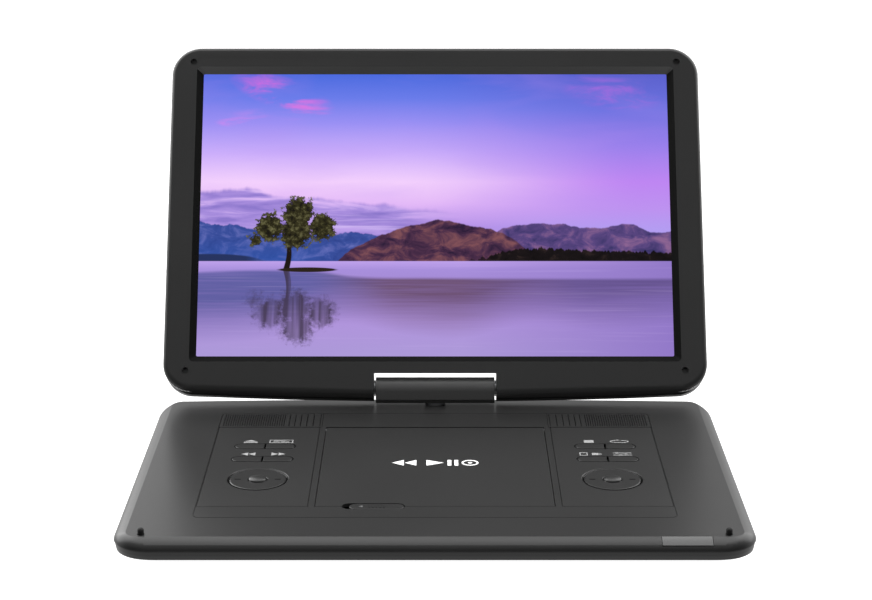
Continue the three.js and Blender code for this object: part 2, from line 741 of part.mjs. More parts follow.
// stiffening rib and catch under the front edge
const rib = { halfX: LID_WIDTH / 2 - 12.75, thickness: 1.4, bottom: TOP_Z - 3.4, top: TOP_Z - 1 };
const hook = { x0: SLIDER_OFFSET - 3, x1: SLIDER_OFFSET + 5, y: LID_FRONT + 8, barb: 1.5, bottom: TOP_Z - 7 };
const hookRear = hook.y + 1 + rib.thickness;
lid = lid.add(box(-rib.halfX, rib.halfX, hook.y + 1, hookRear, rib.bottom, rib.top));
lid = lid.add(box(hook.x0, hook.x1, hook.y, hookRear, hook.bottom, rib.top));
lid = lid.add(box(hook.x0, hook.x1, hook.y - hook.barb, hook.y + 1, hook.bottom, hook.bottom + 1.2));
lid = lid.subtract(prism(sliderSlot, TOP_Z - WALL - 1, TOP_Z + 1));
for (const [side, sign] of SIDES) {
  const inner = LID_WIDTH / 2 - lidPin.length + 3;
  const ends = [sign * (inner - GAP), sign * (LID_WIDTH / 2 + 1)];
  lid = lid.subtract(
    rodX(lidPin.radius + 0.2, Math.min(...ends), Math.max(...ends), lidAxis.y, lidAxis.z, 12),
  );
  const pin = [sign * inner, sign * (lidOpening.x + WALL - 0.7)];
  piece(
    `lid_hinge_pin_${side}`,
    rodX(lidPin.radius, Math.min(...pin), Math.max(...pin), lidAxis.y, lidAxis.z, 12),
    steel,
  );
}
piece("disc_lid", lid, panelPlastic);

const sliderX = SLIDER_OFFSET + sliderSlotLength / 2 - sliderRoom.end - SLIDER_LENGTH / 2;
const slider = prism(
  pill(sliderX, LID_FRONT, SLIDER_LENGTH, SLIDER_DEPTH),
  TOP_Z - WALL + GAP,
  TOP_Z - 0.1,
);
piece("open_slider", slider, keyPlastic);

for (const [side, sign] of SIDES)
  piece(
    `closing_peg_${side}`,
    turned(
      [
        [0, TOP_Z - 1.5],
        [PEG_RADIUS, TOP_Z - 1.5],
        [PEG_RADIUS, TOP_Z + PEG_HEIGHT - 0.9],
        [PEG_RADIUS - 0.7, TOP_Z + PEG_HEIGHT],
        [0, TOP_Z + PEG_HEIGHT],
      ],
      sign * pegX,
      pegY,
      20,
    ),
    rubber,
  );

// ---------------------------------------------------------------- disc mechanism
const well = {
  x: LID_WIDTH / 2 - 2.5,
  front: LID_FRONT + 2.5,
  rear: LID_REAR - 5.5,
  top: TOP_Z - 3.7,
  floor: TOP_Z - 10,
  bottom: TOP_Z - 12.5,
};
const wellRadius = DISC_RADIUS + 2.5;
let chassis = box(-well.x, well.x, well.front, well.rear, well.bottom, well.top);
chassis = chassis.subtract(disc(wellRadius, well.floor, TOP_Z, 0, DISC_Y, 48));
chassis = chassis.subtract(disc(TURNTABLE_RADIUS + 1.2, 0, TOP_Z, 0, DISC_Y, 24));
const sledHead = { x: 10.5, depth: 19, rear: DISC_Y - TURNTABLE_RADIUS - 2 };
const slotFront = sledHead.rear - sledHead.depth - SLED_TRAVEL - 3;
chassis = chassis.subtract(box(-sledHead.x - 1.5, sledHead.x + 1.5, slotFront, DISC_Y, 0, TOP_Z));
chassis = chassis.subtract(
  box(hook.x0 - 1.5, hook.x1 + 1.5, well.front - 1, hook.y + 4, TOP_Z - 8.5, TOP_Z),
);
piece("loader_chassis", chassis, chassisPlastic);

const motorTop = well.floor - 0.6;
let motor = disc(TURNTABLE_RADIUS - 1, FLOOR_Z + 1, motorTop, 0, DISC_Y, 24);
motor = motor.subtract(disc(1.6, motorTop - 6, motorTop + 1, 0, DISC_Y, 16));
piece("spindle_motor", motor, steel);
piece(
  "turntable_hub",
  turned(
    [
      [0, motorTop - 5],
      [1.3, motorTop - 5],
      [1.3, well.floor],
      [TURNTABLE_RADIUS, well.floor],
      [TURNTABLE_RADIUS, well.floor + 1.6],
      [7.4, well.floor + 1.6],
      [7.1, well.floor + 3.6],
      [5.2, well.floor + 4.8],
      [0, well.floor + 4.8],
    ],
    0,
    DISC_Y,
  ),
  chassisPlastic,
);

const rail = {
  x: 16.5,
  z: (well.bottom + FLOOR_Z) / 2,
  front: slotFront - 4,
  rear: sledHead.rear,
};
const sledHalf = 2.6; // half of the sled's thickness at the rails
let sled = box(
  -sledHead.x,
  sledHead.x,
  sledHead.rear - sledHead.depth,
  sledHead.rear,
  rail.z - 2,
  well.floor + 0.8,
);
sled = sled.add(
  box(
    -rail.x - 4,
    rail.x + 4,
    sledHead.rear - sledHead.depth,
    sledHead.rear,
    rail.z - sledHalf,
    rail.z + sledHalf,
  ),
);
for (const [side, sign] of SIDES) {
  sled = sled.subtract(rodY(RAIL_RADIUS + 0.4, 0, BASE_DEPTH, sign * rail.x, rail.z));
  piece(
    `sled_rail_${side}`,
    rodY(RAIL_RADIUS, rail.front, rail.rear, sign * rail.x, rail.z),
    steel,
  );
}
piece("laser_sled", sled, steel);

// ---------------------------------------------------------------- electronics in the base
const battery = { x: FRAME_X - 25, depth: 25.5, rear: LID_FRONT - 5, rise: 5.2 }; // over the sloping floor
piece(
  "battery_pack",
  box(-battery.x, battery.x, battery.rear - battery.depth, battery.rear, FLOOR_Z + battery.rise, TOP_Z - 6),
  batteryWrap,
);
piece(
  "main_board",
  box(
    PANEL_X,
    BASE_WIDTH / 2 - 34,
    LID_FRONT + 4,
    LID_REAR - 4,
    FLOOR_Z + 3,
    FLOOR_Z + 4.6,
  ),
  boardGreen,
);

// ---------------------------------------------------------------- hinge block
// local frame: origin on the tilt axis over the swivel axis
hinge.position.set(0, HINGE_Y, AXIS_Z);
const blockX = BLOCK_WIDTH / 2;
const saddleTop = -BLOCK_BELOW_AXIS + 2;
/** The block's upright section: a half-round top on straight sides. */
function blockSection(radius, lowest) {
  return [
    new THREE.Vector2(-radius, lowest),
    new THREE.Vector2(radius, lowest),
    ...arc(0, 0, radius, 0, 180, 14),
  ];
}
const coverWall = 1.7;
let cover = bar(blockSection(BLOCK_RADIUS, saddleTop + GAP), -blockX, blockX);
cover = cover.subtract(
  bar(blockSection(BLOCK_RADIUS - coverWall, saddleTop - 2), -blockX + coverWall, blockX - coverWall),
);
cover = cover.subtract(rodX(SHAFT_RADIUS + GAP, -blockX - 1, blockX + 1, 0, 0));
piece("hinge_cover", cover, shellPlastic, hinge);
piece(
  "hinge_saddle",
  box(-blockX, blockX, -BLOCK_RADIUS, BLOCK_RADIUS, -BLOCK_BELOW_AXIS, saddleTop).subtract(
    disc(POST_RADIUS + GAP, -20, 0),
  ),
  chassisPlastic,
  hinge,
);
const deckUnderside = -AXIS_HEIGHT - WALL;
const nut = { top: deckUnderside - GAP, thickness: 2.6, radius: 6.2 };
const nutOutline = arc(0, 0, nut.radius, 0, 300, 5); // a hexagon with its flats to the front and rear
const postHole = 2.6;
piece(
  "swivel_post",
  turned([
    [0, nut.top - nut.thickness - 1],
    [POST_RADIUS, nut.top - nut.thickness - 1],
    [POST_RADIUS, -AXIS_HEIGHT + GAP],
    [COLLAR_RADIUS, -AXIS_HEIGHT + GAP],
    [COLLAR_RADIUS, -BLOCK_BELOW_AXIS - GAP],
    [POST_RADIUS, -BLOCK_BELOW_AXIS - GAP],
    [POST_RADIUS, saddleTop + GAP],
    [POST_RADIUS + 1, saddleTop + GAP],
    [POST_RADIUS + 1, saddleTop + 1.3],
    [0, saddleTop + 1.3],
  ]).subtract(disc(postHole, -30, 0, 0, 0, 20)),
  steel,
  hinge,
);
piece(
  "swivel_nut",
  prism(nutOutline, nut.top - nut.thickness, nut.top).subtract(disc(POST_RADIUS + GAP, -30, 0)),
  steel,
  hinge,
);

// ---------------------------------------------------------------- display
// local frame: X across, Y up the display from the hinge axis, Z towards the viewer
screen.position.set(0, HINGE_Y, AXIS_Z);
screen.rotation.x = THREE.MathUtils.degToRad(90 - LEAN);
const frontFoot = 6.5; // rounding of the lower edge, so that it clears the deck while tilting
const rearFoot = 4;
const rearEdge = 4;

function screenRing(z, wall) {
  const toFront = SCREEN_FRONT - z;
  const toRear = z - SCREEN_REAR;
  const side = Math.max(
    edgeInset(toFront, SCREEN_EDGE, SCREEN_EDGE),
    edgeInset(toRear, rearEdge, rearEdge),
  );
  const foot = Math.max(
    edgeInset(toFront, frontFoot, frontFoot),
    edgeInset(toRear, rearFoot, rearFoot),
  );
  return {
    z,
    points: outline({
      x: SCREEN_WIDTH / 2 - side - wall,
      near: -SCREEN_BELOW_AXIS - SCREEN_BOW + foot + wall,
      far: SCREEN_TOP - side - wall,
      radius: SCREEN_CORNER - side - wall,
      nearBow: SCREEN_BOW,
    }),
  };
}

/** The display housing between two depths, following its rounded edges. */
function screenForm(z0, z1, wall = 0) {
  const levels = [0, 0.04, 0.15, 0.33, 0.6, 1].flatMap((share) => [
    SCREEN_FRONT - share * frontFoot,
    SCREEN_REAR + share * rearFoot,
  ]);
  levels.push(SCREEN_FRONT - SCREEN_EDGE, SCREEN_FRONT - SCREEN_EDGE / 2);
  const inside = levels.filter((z) => z > z0 + 0.05 && z < z1 - 0.05).sort((a, b) => a - b);
  return loft([z0, ...inside, z1].map((z) => screenRing(z, wall)));
}

const notchWall = 2;
/** The room round the hinge block, grown by a wall: its ceiling rises from the front to the rear. */
function notchForm(grow) {
  const reach = 30; // past the housing's faces
  const ceiling = (z) => NOTCH_TOP + grow + (SCREEN_FRONT - z) * NOTCH_SLOPE;
  const section = [
    new THREE.Vector2(-reach, -reach),
    new THREE.Vector2(ceiling(-reach), -reach),
    new THREE.Vector2(ceiling(reach), reach),
    new THREE.Vector2(-reach, reach),
  ];
  return bar(section, -NOTCH_X - grow, NOTCH_X + grow);
}
const notch = notchForm(0);
const notchBlock = notchForm(notchWall);
const shaftBore = rodX(SHAFT_RADIUS + GAP, -NOTCH_X - 5, NOTCH_X + 5, 0, 0);
const rearWall = 2;

const rearBody = screenForm(SCREEN_REAR, SPLIT - GAP);
let rearCover = rearBody
  .subtract(screenForm(SCREEN_REAR + rearWall, SCREEN_FRONT, rearWall))
  .add(rearBody.intersect(notchBlock));
rearCover = rearCover.subtract(notch).subtract(shaftBore);
piece("screen_rear_cover", rearCover, shellPlastic, screen);

/** Rounded rectangle round the lit area, grown by a margin. */
function windowOutline(grow, radius) {
  return outline({
    x: LIT_X + grow,
    near: LIT_BOTTOM - grow,
    far: LIT_TOP + grow,
    radius,
    steps: 4,
  });
}
const bezelBody = screenForm(SPLIT, SCREEN_FRONT);
const lipBack = SCREEN_FRONT - WINDOW_DEPTH;
let bezel = bezelBody
  .subtract(screenForm(SPLIT - 2, SCREEN_FRONT - 2, 2))
  .add(bezelBody.intersect(notchBlock))
  .add(prism(windowOutline(WINDOW_BEVEL + 2, 4), lipBack, SCREEN_FRONT - 1));
const pegHoles = SIDES.flatMap(([, sign]) => [
  [sign * pegX, SCREEN_TOP - PEG_FROM_TOP],
  [sign * pegX, PEG_FROM_TOP],
]);
const holeDepth = 3.4;
for (const [x, y] of pegHoles)
  bezel = bezel.add(disc(PEG_RADIUS + 2.4, SPLIT + 0.3, SCREEN_FRONT - 1, x, y, 16));
bezel = bezel
  .subtract(
    loft([
      { z: lipBack - 1, points: windowOutline(0, 1) },
      { z: lipBack, points: windowOutline(0, 1) },
      { z: SCREEN_FRONT, points: windowOutline(WINDOW_BEVEL, 3) },
      { z: SCREEN_FRONT + 1, points: windowOutline(WINDOW_BEVEL, 3) },
    ]),
  )
  .subtract(notch)
  .subtract(shaftBore);
for (const [x, y] of pegHoles)
  bezel = bezel.subtract(disc(PEG_RADIUS + 0.5, SCREEN_FRONT - holeDepth, SCREEN_FRONT + 1, x, y, 16));
piece("screen_bezel", bezel, shellPlastic, screen);

const panelFront = lipBack - GAP;
piece(
  "display_panel",
  box(-LIT_X - 3, LIT_X + 3, LIT_BOTTOM - 3, LIT_TOP + 3, panelFront - PANEL_THICKNESS, panelFront),
  displayGlass,
  screen,
);
const displayBoard = {
  halfX: 70,
  from: LIT_BOTTOM + 4,
  to: LIT_BOTTOM + 34,
  rear: SCREEN_REAR + 3.2,
  thickness: 1.6,
};
piece(
  "display_board",
  box(
    -displayBoard.halfX,
    displayBoard.halfX,
    displayBoard.from,
    displayBoard.to,
    displayBoard.rear,
    displayBoard.rear + displayBoard.thickness,
  ),
  boardGreen,
  screen,
);

const bracket = {
  lugWidth: 10,
  lugDepth: 3.8, // before and behind the tilt axis
  foot: 1.3 - SCREEN_BELOW_AXIS,
  top: 12,
  plateWidth: 46,
  plateTop: 24,
  thickness: 1.6,
};
for (const [side, sign] of SIDES) {
  const knuckle = [blockX + GAP, NOTCH_X - GAP].map((x) => sign * x);
  const shaftSpan = [blockX - 15, NOTCH_X + 16].map((x) => sign * x);
  const shaft = rodX(SHAFT_RADIUS, Math.min(...shaftSpan), Math.max(...shaftSpan), 0, 0).add(
    rodX(KNUCKLE_RADIUS, Math.min(...knuckle), Math.max(...knuckle), 0, 0, 24),
  );
  piece(`tilt_shaft_${side}`, shaft, steel, screen);
  const inner = NOTCH_X + notchWall + 2;
  const { lugWidth, lugDepth, top, foot, plateWidth, plateTop, thickness } = bracket;
  const lug = sideBox(sign, inner, inner + lugWidth, foot, top, -lugDepth, lugDepth);
  const plateFront = thickness - lugDepth;
  const plate = sideBox(sign, inner, inner + plateWidth, top - 2, plateTop, -lugDepth, plateFront);
  piece(
    `hinge_bracket_${side}`,
    lug.add(plate).subtract(rodX(SHAFT_RADIUS + GAP, -200, 200, 0, 0)),
    steel,
    screen,
  );
}

// ---------------------------------------------------------------- placing
// the origin goes under the middle of the whole object, on the table
player.updateMatrixWorld(true);
const extent = new THREE.Box3().setFromObject(player, true);
const shiftY = -(extent.min.y + extent.max.y) / 2;
for (const child of player.children) child.position.y += shiftY;

/** Joint places in the object's frame, for whoever drives it. */
player.userData.joints = {
  hinge: [0, HINGE_Y + shiftY, AXIS_Z],
  lid: [0, lidAxis.y + shiftY, lidAxis.z],
  turntable: [0, DISC_Y + shiftY, well.floor],
  volume: [wheelX, volumeWheel.y + shiftY, PORT_Z],
  shiftY,
  feet: feet.map(([, sign, y]) => [sign * footX, y + shiftY, 0]),
};

export default player;
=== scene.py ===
import json
import math

import bmesh
import bpy
import numpy as np
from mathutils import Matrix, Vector
from mathutils.bvhtree import BVHTree
from mathutils.geometry import convex_hull_2d


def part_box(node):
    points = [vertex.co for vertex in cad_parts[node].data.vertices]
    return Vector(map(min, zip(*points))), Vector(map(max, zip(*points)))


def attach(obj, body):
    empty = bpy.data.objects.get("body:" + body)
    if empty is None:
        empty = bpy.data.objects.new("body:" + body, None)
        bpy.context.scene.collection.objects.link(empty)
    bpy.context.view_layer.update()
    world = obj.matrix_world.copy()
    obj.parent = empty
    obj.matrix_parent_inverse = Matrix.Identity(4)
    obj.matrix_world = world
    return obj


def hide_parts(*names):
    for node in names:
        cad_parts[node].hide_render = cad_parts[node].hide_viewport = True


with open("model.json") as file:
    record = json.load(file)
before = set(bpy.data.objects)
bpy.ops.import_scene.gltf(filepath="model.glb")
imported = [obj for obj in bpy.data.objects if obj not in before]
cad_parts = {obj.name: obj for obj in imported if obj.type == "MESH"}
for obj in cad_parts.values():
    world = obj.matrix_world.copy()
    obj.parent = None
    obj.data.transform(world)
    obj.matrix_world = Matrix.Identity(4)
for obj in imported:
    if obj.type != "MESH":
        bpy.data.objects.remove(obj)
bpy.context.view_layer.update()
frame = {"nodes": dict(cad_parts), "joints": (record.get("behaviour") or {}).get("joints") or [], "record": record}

# ---------------------------------------------------------------------------------------------
# Camera, table and light. The player stands on a plain white table under a wide overhead softbox,
# with a paler band low behind it that runs along the sloping side edges, and little light in front.
MM = 0.001
scene = bpy.context.scene
scene.view_settings.view_transform = "Standard"

hinge_point = np.array(next(j for j in frame["joints"] if j["name"] == "screen_tilt")["pos_m"])
front_y = float(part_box("base_upper_shell")[0][1])
deck_z = float(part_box("base_upper_shell")[1][2])

CAMERA_RISE = 473.2 * MM  # above the deck
CAMERA_BACK = 1133.0 * MM  # in front of the player's front edge
CAMERA_PITCH = math.radians(16.1)
CAMERA_ACROSS = 0.6 * MM
CAMERA_LENS = 86.7  # millimetres, on a sensor of the next width
SENSOR_WIDTH = 36.0
VIEW_DEPTH = 50.0


class Tree:
    """A node tree while it is put together, with short ways to add nodes and link them."""

    def __init__(self, tree):
        self.tree = tree

    def feed(self, node, key, value):
        """Links a socket into an input, or sets the input to a plain value."""
        socket = node.inputs[key]
        if isinstance(value, bpy.types.NodeSocket):
            self.tree.links.new(value, socket)
        else:
            socket.default_value = value

    def add(self, kind, inputs=(), **settings):
        node = self.tree.nodes.new(kind)
        for key, value in settings.items():
            setattr(node, key, value)
        for key, value in dict(inputs).items():
            self.feed(node, key, value)
        return node

    def math(self, operation, a, b=0.0, clamp=False):
        node = self.add("ShaderNodeMath", {0: a, 1: b}, operation=operation, use_clamp=clamp)
        return node.outputs[0]

    def span(self, value, low, high, to_low=0.0, to_high=1.0, smooth=False):
        """value's place between low and high, carried to the place between to_low and to_high."""
        node = self.add("ShaderNodeMapRange", interpolation_type="SMOOTHSTEP" if smooth else "LINEAR")
        for key, number in zip((0, 1, 2, 3, 4), (value, low, high, to_low, to_high)):
            self.feed(node, key, number)
        return node.outputs[0]

    def mix(self, factor, a, b, blend="MIX"):
        node = self.add("ShaderNodeMix", {0: factor, 6: a, 7: b}, data_type="RGBA", blend_type=blend)
        return node.outputs[2]

    def noise(self, vector, scale, detail=2.0, roughness=0.5, distortion=0.0):
        inputs = {"Vector": vector, "Scale": scale, "Detail": detail}
        inputs |= {"Roughness": roughness, "Distortion": distortion}
        return self.add("ShaderNodeTexNoise", inputs).outputs["Fac"]

    def curve(self, value, points, handle="AUTO"):
        """A height over value's 0 to 1, drawn through (across, height) points."""
        node = self.add("ShaderNodeFloatCurve", {"Value": value})
        line = node.mapping.curves[0]
        for _ in range(len(points) - len(line.points)):
            line.points.new(0.5, 0.5)
        for point, place in zip(line.points, points):
            point.location = place
            point.handle_type = handle
        node.mapping.update()
        return node.outputs[0]


class Finish(Tree):
    """A material while it is put together: its node tree and its shader, set up by socket names."""

    def __init__(self, name, **sockets):
        self.material = bpy.data.materials.new(name)
        self.material.use_nodes = True
        super().__init__(self.material.node_tree)
        self.shader = self.tree.nodes["Principled BSDF"]
        for socket, value in sockets.items():
            self.feed(self.shader, socket.replace("_", " "), value)

    def place(self):
        return self.add("ShaderNodeTexCoord").outputs["Object"]

    def roughen(self, height, depth):
        """Raises the surface's look by height, up to depth."""
        bump = self.add("ShaderNodeBump", {"Strength": 1.0, "Distance": depth, "Height": height})
        self.feed(self.shader, "Normal", bump.outputs[0])


def grey(level):
    """A neutral colour from a screen level of 0 to 255, as linear light."""
    share = level / 255
    linear = share / 12.92 if share <= 0.04045 else ((share + 0.055) / 1.055) ** 2.4
    return (linear, linear, linear, 1.0)


def paint(text):
    """A colour from its screen code, as linear light."""
    return tuple(grey(int(text[i : i + 2], 16))[0] for i in (1, 3, 5)) + (1.0,)


camera = bpy.data.objects.new("camera", bpy.data.cameras.new("camera"))
camera.data.lens = CAMERA_LENS
camera.data.sensor_width = SENSOR_WIDTH
camera.data.clip_end = VIEW_DEPTH
camera.location = (CAMERA_ACROSS, front_y - CAMERA_BACK, deck_z + CAMERA_RISE)
camera.rotation_euler = (math.pi / 2 - CAMERA_PITCH, 0, 0)
scene.collection.objects.link(camera)
scene.camera = camera


def softbox(name, place, aim, size, power):
    """A rectangular white light of so many watts at place, turned to face aim."""
    data = bpy.data.lights.new(name, "AREA")
    data.shape = "RECTANGLE"
    data.size, data.size_y = size
    data.energy = power
    light = bpy.data.objects.new(name, data)
    light.location = place
    down = np.array(aim) - np.array(place)
    flat = math.hypot(down[0], down[1])
    light.rotation_euler = (math.atan2(flat, -down[2]), 0, math.atan2(down[1], down[0]) - math.pi / 2)
    light.visible_camera = False
    scene.collection.objects.link(light)
    return light


softbox("light_overhead", (0.0, 0.25, 1.45), (0.0, 0.0, 0.0), (2.2, 1.3), 15.0)
softbox("light_rear_left", (-0.85, 0.45, 0.62), (-0.1, -0.1, 0.03), (1.1, 1.1), 9.5)
softbox("light_far_left", (-0.72, 1.1, 0.5), (-0.15, 0.0, 0.03), (0.9, 0.6), 1.0)
softbox("light_rear_right", (0.85, 0.45, 0.62), (0.1, -0.1, 0.03), (1.0, 1.0), 6.0)
fill = softbox("light_front_fill", (0.0, -0.3, 0.4), (0.0, 0.06, 0.05), (0.9, 0.15), 1.4)
fill.visible_glossy = False

# the studio: a pale band low behind the player, a dim wall in front that is palest underneath, each
# given as (height of view, brightness) from straight down, -1, to straight up, 1
REAR_LEVELS = [(-1.0, 0.8), (-0.2, 0.9), (0.12, 0.9), (0.4, 0.58), (1.0, 0.4)]
FRONT_LEVELS = [(-1.0, 1.0), (-0.45, 0.8), (-0.2, 0.05), (0.25, 0.05), (0.6, 0.2), (0.75, 0.2), (1.0, 0.3)]
FRONT_ENDS, REAR_STARTS = -0.3, 0.45
SEEN_BACKDROP = 1.0
world = bpy.data.worlds.new("studio")
world.use_nodes = True
scene.world = world
sky = Tree(world.node_tree)
direction = sky.add("ShaderNodeSeparateXYZ", {0: sky.add("ShaderNodeTexCoord").outputs["Generated"]})


def wall_level(levels):
    """The wall's brightness at each height of view."""
    share = sky.add("ShaderNodeMath", {0: direction.outputs["Z"], 1: 0.5, 2: 0.5}, operation="MULTIPLY_ADD")
    points = [((height + 1) / 2, brightness) for height, brightness in levels]
    return sky.curve(share.outputs[0], points, "VECTOR")


turn = sky.span(direction.outputs["Y"], FRONT_ENDS, REAR_STARTS)
wall = sky.add("ShaderNodeMix", {0: turn, 2: wall_level(FRONT_LEVELS), 3: wall_level(REAR_LEVELS)})
seen = sky.add("ShaderNodeLightPath").outputs["Is Camera Ray"]
level = sky.add("ShaderNodeMix", {0: seen, 2: wall.outputs[0], 3: SEEN_BACKDROP})
backdrop = sky.tree.nodes["Background"]
sky.feed(backdrop, "Strength", level.outputs[0])
sky.feed(backdrop, "Color", (1.0, 1.0, 1.0, 1.0))

TABLE_HALF = 12.0
table_corners = [(x * TABLE_HALF, y * TABLE_HALF, 0.0) for x, y in ((-1, -1), (1, -1), (1, 1), (-1, 1))]
table_mesh = bpy.data.meshes.new("table")
table_mesh.from_pydata(table_corners, [], [(0, 1, 2, 3)])
table = bpy.data.objects.new("table", table_mesh)
scene.collection.objects.link(table)
laminate = Finish("table_laminate", Base_Color=(0.5, 0.5, 0.5, 1.0), Roughness=0.8)
laminate.feed(laminate.shader, "Emission Color", (1.0, 1.0, 1.0, 1.0))
laminate.feed(laminate.shader, "Emission Strength", 1.0)
table_mesh.materials.append(laminate.material)
table.visible_diffuse = False
table.visible_glossy = False

# ---------------------------------------------------------------------------------------------
# Housing shells. The base is an upper and a lower half, the display a front bezel and a rear cover,
# all injection-moulded in near-black ABS with a satin, very fine spark-eroded grain.
SHADE_DRIFT = 1.5  # screen levels
SHEEN_DRIFT = 0.03


def moulded(name, level, roughness, grain=0.01 * MM, grain_pitch=0.35 * MM, gloss=0.5):
    """Near-black plastic: a fine grain in the surface and slow changes of shade and sheen over it."""
    finish = Finish(name)
    at = finish.place()
    broad = finish.noise(at, 9.0, 3.0)
    fine = finish.noise(at, 1.0 / grain_pitch, 2.0, 0.6)
    dark, pale = grey(level - SHADE_DRIFT), grey(level + SHADE_DRIFT)
    finish.feed(finish.shader, "Base Color", finish.mix(broad, dark, pale))
    slow = finish.span(broad, 0.3, 0.7, roughness - SHEEN_DRIFT, roughness + SHEEN_DRIFT)
    quick = finish.span(fine, 0, 1, -SHEEN_DRIFT, SHEEN_DRIFT)
    finish.feed(finish.shader, "Roughness", finish.math("ADD", slow, quick))
    finish.feed(finish.shader, "Specular IOR Level", gloss)
    finish.roughen(fine, grain)
    return finish.material


bodies = frame["record"]["behaviour"]["bodies"]
node_body = {node: body for body, nodes in bodies.items() for node in nodes}
node_slot = {row["node"]: row["material_slot"] for row in frame["record"]["subparts"]}


CAD_WELD = 0.002 * MM
FLAT_ENOUGH = math.radians(0.5)


def refined(node, material, edge=0.0, crease=32.0):
    """A fine copy of a CAD piece: its loose triangles joined, its curved skin shaded smooth, its
    flat faces kept flat, and its edges rounded by a radius. It takes the CAD piece's place."""
    mesh = bpy.data.meshes.new(node + "_skin")
    skin = bmesh.new()
    skin.from_mesh(frame["nodes"][node].data)
    bmesh.ops.remove_doubles(skin, verts=skin.verts, dist=CAD_WELD)
    bmesh.ops.dissolve_limit(
        skin, angle_limit=FLAT_ENOUGH, verts=skin.verts, edges=skin.edges, use_dissolve_boundaries=False
    )
    skin.to_mesh(mesh)
    skin.free()
    mesh.shade_smooth()
    mesh.set_sharp_from_angle(angle=math.radians(crease))
    piece = bpy.data.objects.new(node + "_skin", mesh)
    scene.collection.objects.link(piece)
    mesh.materials.clear()
    mesh.materials.append(material)
    if edge:
        rounding = piece.modifiers.new("edge", "BEVEL")
        rounding.width = edge
        rounding.segments = 2
        rounding.limit_method = "ANGLE"
        rounding.angle_limit = math.radians(crease)
    flats = piece.modifiers.new("flats", "WEIGHTED_NORMAL")
    flats.weight = 100
    flats.keep_sharp = True
    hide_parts(node)
    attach(piece, node_body[node])
    return piece


base_plastic = moulded("base_abs", 40, 0.34)
screen_plastic = moulded("display_abs", 40, 0.34)
for shell in ("base_upper_shell", "base_lower_shell"):
    refined(shell, base_plastic, crease=15.5)
for shell in ("screen_bezel", "screen_rear_cover"):
    refined(shell, screen_plastic)

# ---------------------------------------------------------------------------------------------
# Deck trim: control panels, speaker strips and the disc lid are separate mouldings with a closer,
# flatter grain than the housing.
trim_plastic = moulded("deck_trim_abs", 40, 0.36, grain_pitch=0.25 * MM)
for trim in ("control_panel_left", "control_panel_right", "speaker_grille_left", "speaker_grille_right"):
    refined(trim, trim_plastic)
refined("disc_lid", trim_plastic)

# ---------------------------------------------------------------------------------------------
# Keys, navigation rings, centre buttons, the open slider and the side controls: satin black caps
# with softly rounded edges.
key_plastic = moulded("key_abs", 41, 0.32, grain=0.004 * MM)
key_nodes = [node for node in frame["nodes"] if node_slot[node] == "key_plastic"]
for cap in key_nodes:
    refined(cap, key_plastic, edge=0.3 * MM)

# ---------------------------------------------------------------------------------------------
# Swivel hinge: the barrel's cover is a satin moulding like the housing, but set a paler grey as painted
# light on the barrel, over a plastic saddle and a zinc-plated steel post, nut, shafts and brackets.
STREAK_DEPTH = 0.004 * MM


def plated(name, colour, roughness, streak):
    """Plated steel: a fine drawn streak along one way and slow dull patches."""
    finish = Finish(name, Metallic=1.0, Base_Color=colour)
    at = finish.place()
    stretch = finish.add("ShaderNodeVectorMath", {0: at, 1: streak}, operation="MULTIPLY").outputs[0]
    drawn = finish.noise(stretch, 900.0, 3.0)
    dull = finish.noise(at, 60.0, 3.0)
    slow = finish.span(dull, 0.3, 0.7, roughness - 0.05, roughness + 0.07)
    finish.feed(finish.shader, "Roughness", finish.math("ADD", slow, finish.span(drawn, 0, 1, -0.05, 0.05)))
    finish.roughen(drawn, STREAK_DEPTH)
    return finish.material


steel = plated("plated_steel", (0.55, 0.56, 0.58, 1.0), 0.33, (1.0, 1.0, 0.05))
chassis_plastic = moulded("chassis_abs", 30, 0.55)
# the hinge cover's grey is set far paler than the housing's, painted light for the barrel's lit band
hinge_abs_painted_light = moulded("hinge_abs", 74, 0.38)
refined("hinge_cover", hinge_abs_painted_light, edge=0.4 * MM)
refined("hinge_saddle", chassis_plastic, edge=0.3 * MM)
for part in ("swivel_post", "swivel_nut", "tilt_shaft_left", "tilt_shaft_right"):
    refined(part, steel)
for part in ("hinge_bracket_left", "hinge_bracket_right"):
    refined(part, steel, edge=0.2 * MM)

# ---------------------------------------------------------------------------------------------
# Closing pegs and feet: black thermoplastic rubber, pushed into sockets of the housing, a little
# dusty and matt, with a rounded rim.
rubber = moulded("rubber", 24, 0.7, grain=0.02 * MM)
for node in frame["nodes"]:
    if node_slot[node] == "rubber":
        refined(node, rubber, edge=0.35 * MM)


# ---------------------------------------------------------------------------------------------
# Printed signs: pale pad-printed pictograms behind each key, and a bright row of playback signs on
# the disc lid, all a film of ink thick. The inks glow as painted light, faintly behind the keys and strongly on
# the lid.
def middle(node, height=None):
    """The centre of a CAD piece's box, or the place at a given height above or below it."""
    place = np.mean(np.array(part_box(node), float), axis=0)
    if height is not None:
        place[2] = height
    return place


def oval(radius_x, radius_y, across=0.0, along=0.0, count=32, start=0.0, end=360.0):
    """Points round an ellipse, in millimetres."""
    angle = np.radians(np.linspace(start, end, count, endpoint=end - start < 360))
    return np.stack([across + radius_x * np.cos(angle), along + radius_y * np.sin(angle)], -1)


def block(x0, x1, y0, y1):
    """The corners of an upright rectangle, in millimetres."""
    return np.array([(x0, y0), (x1, y0), (x1, y1), (x0, y1)], float)


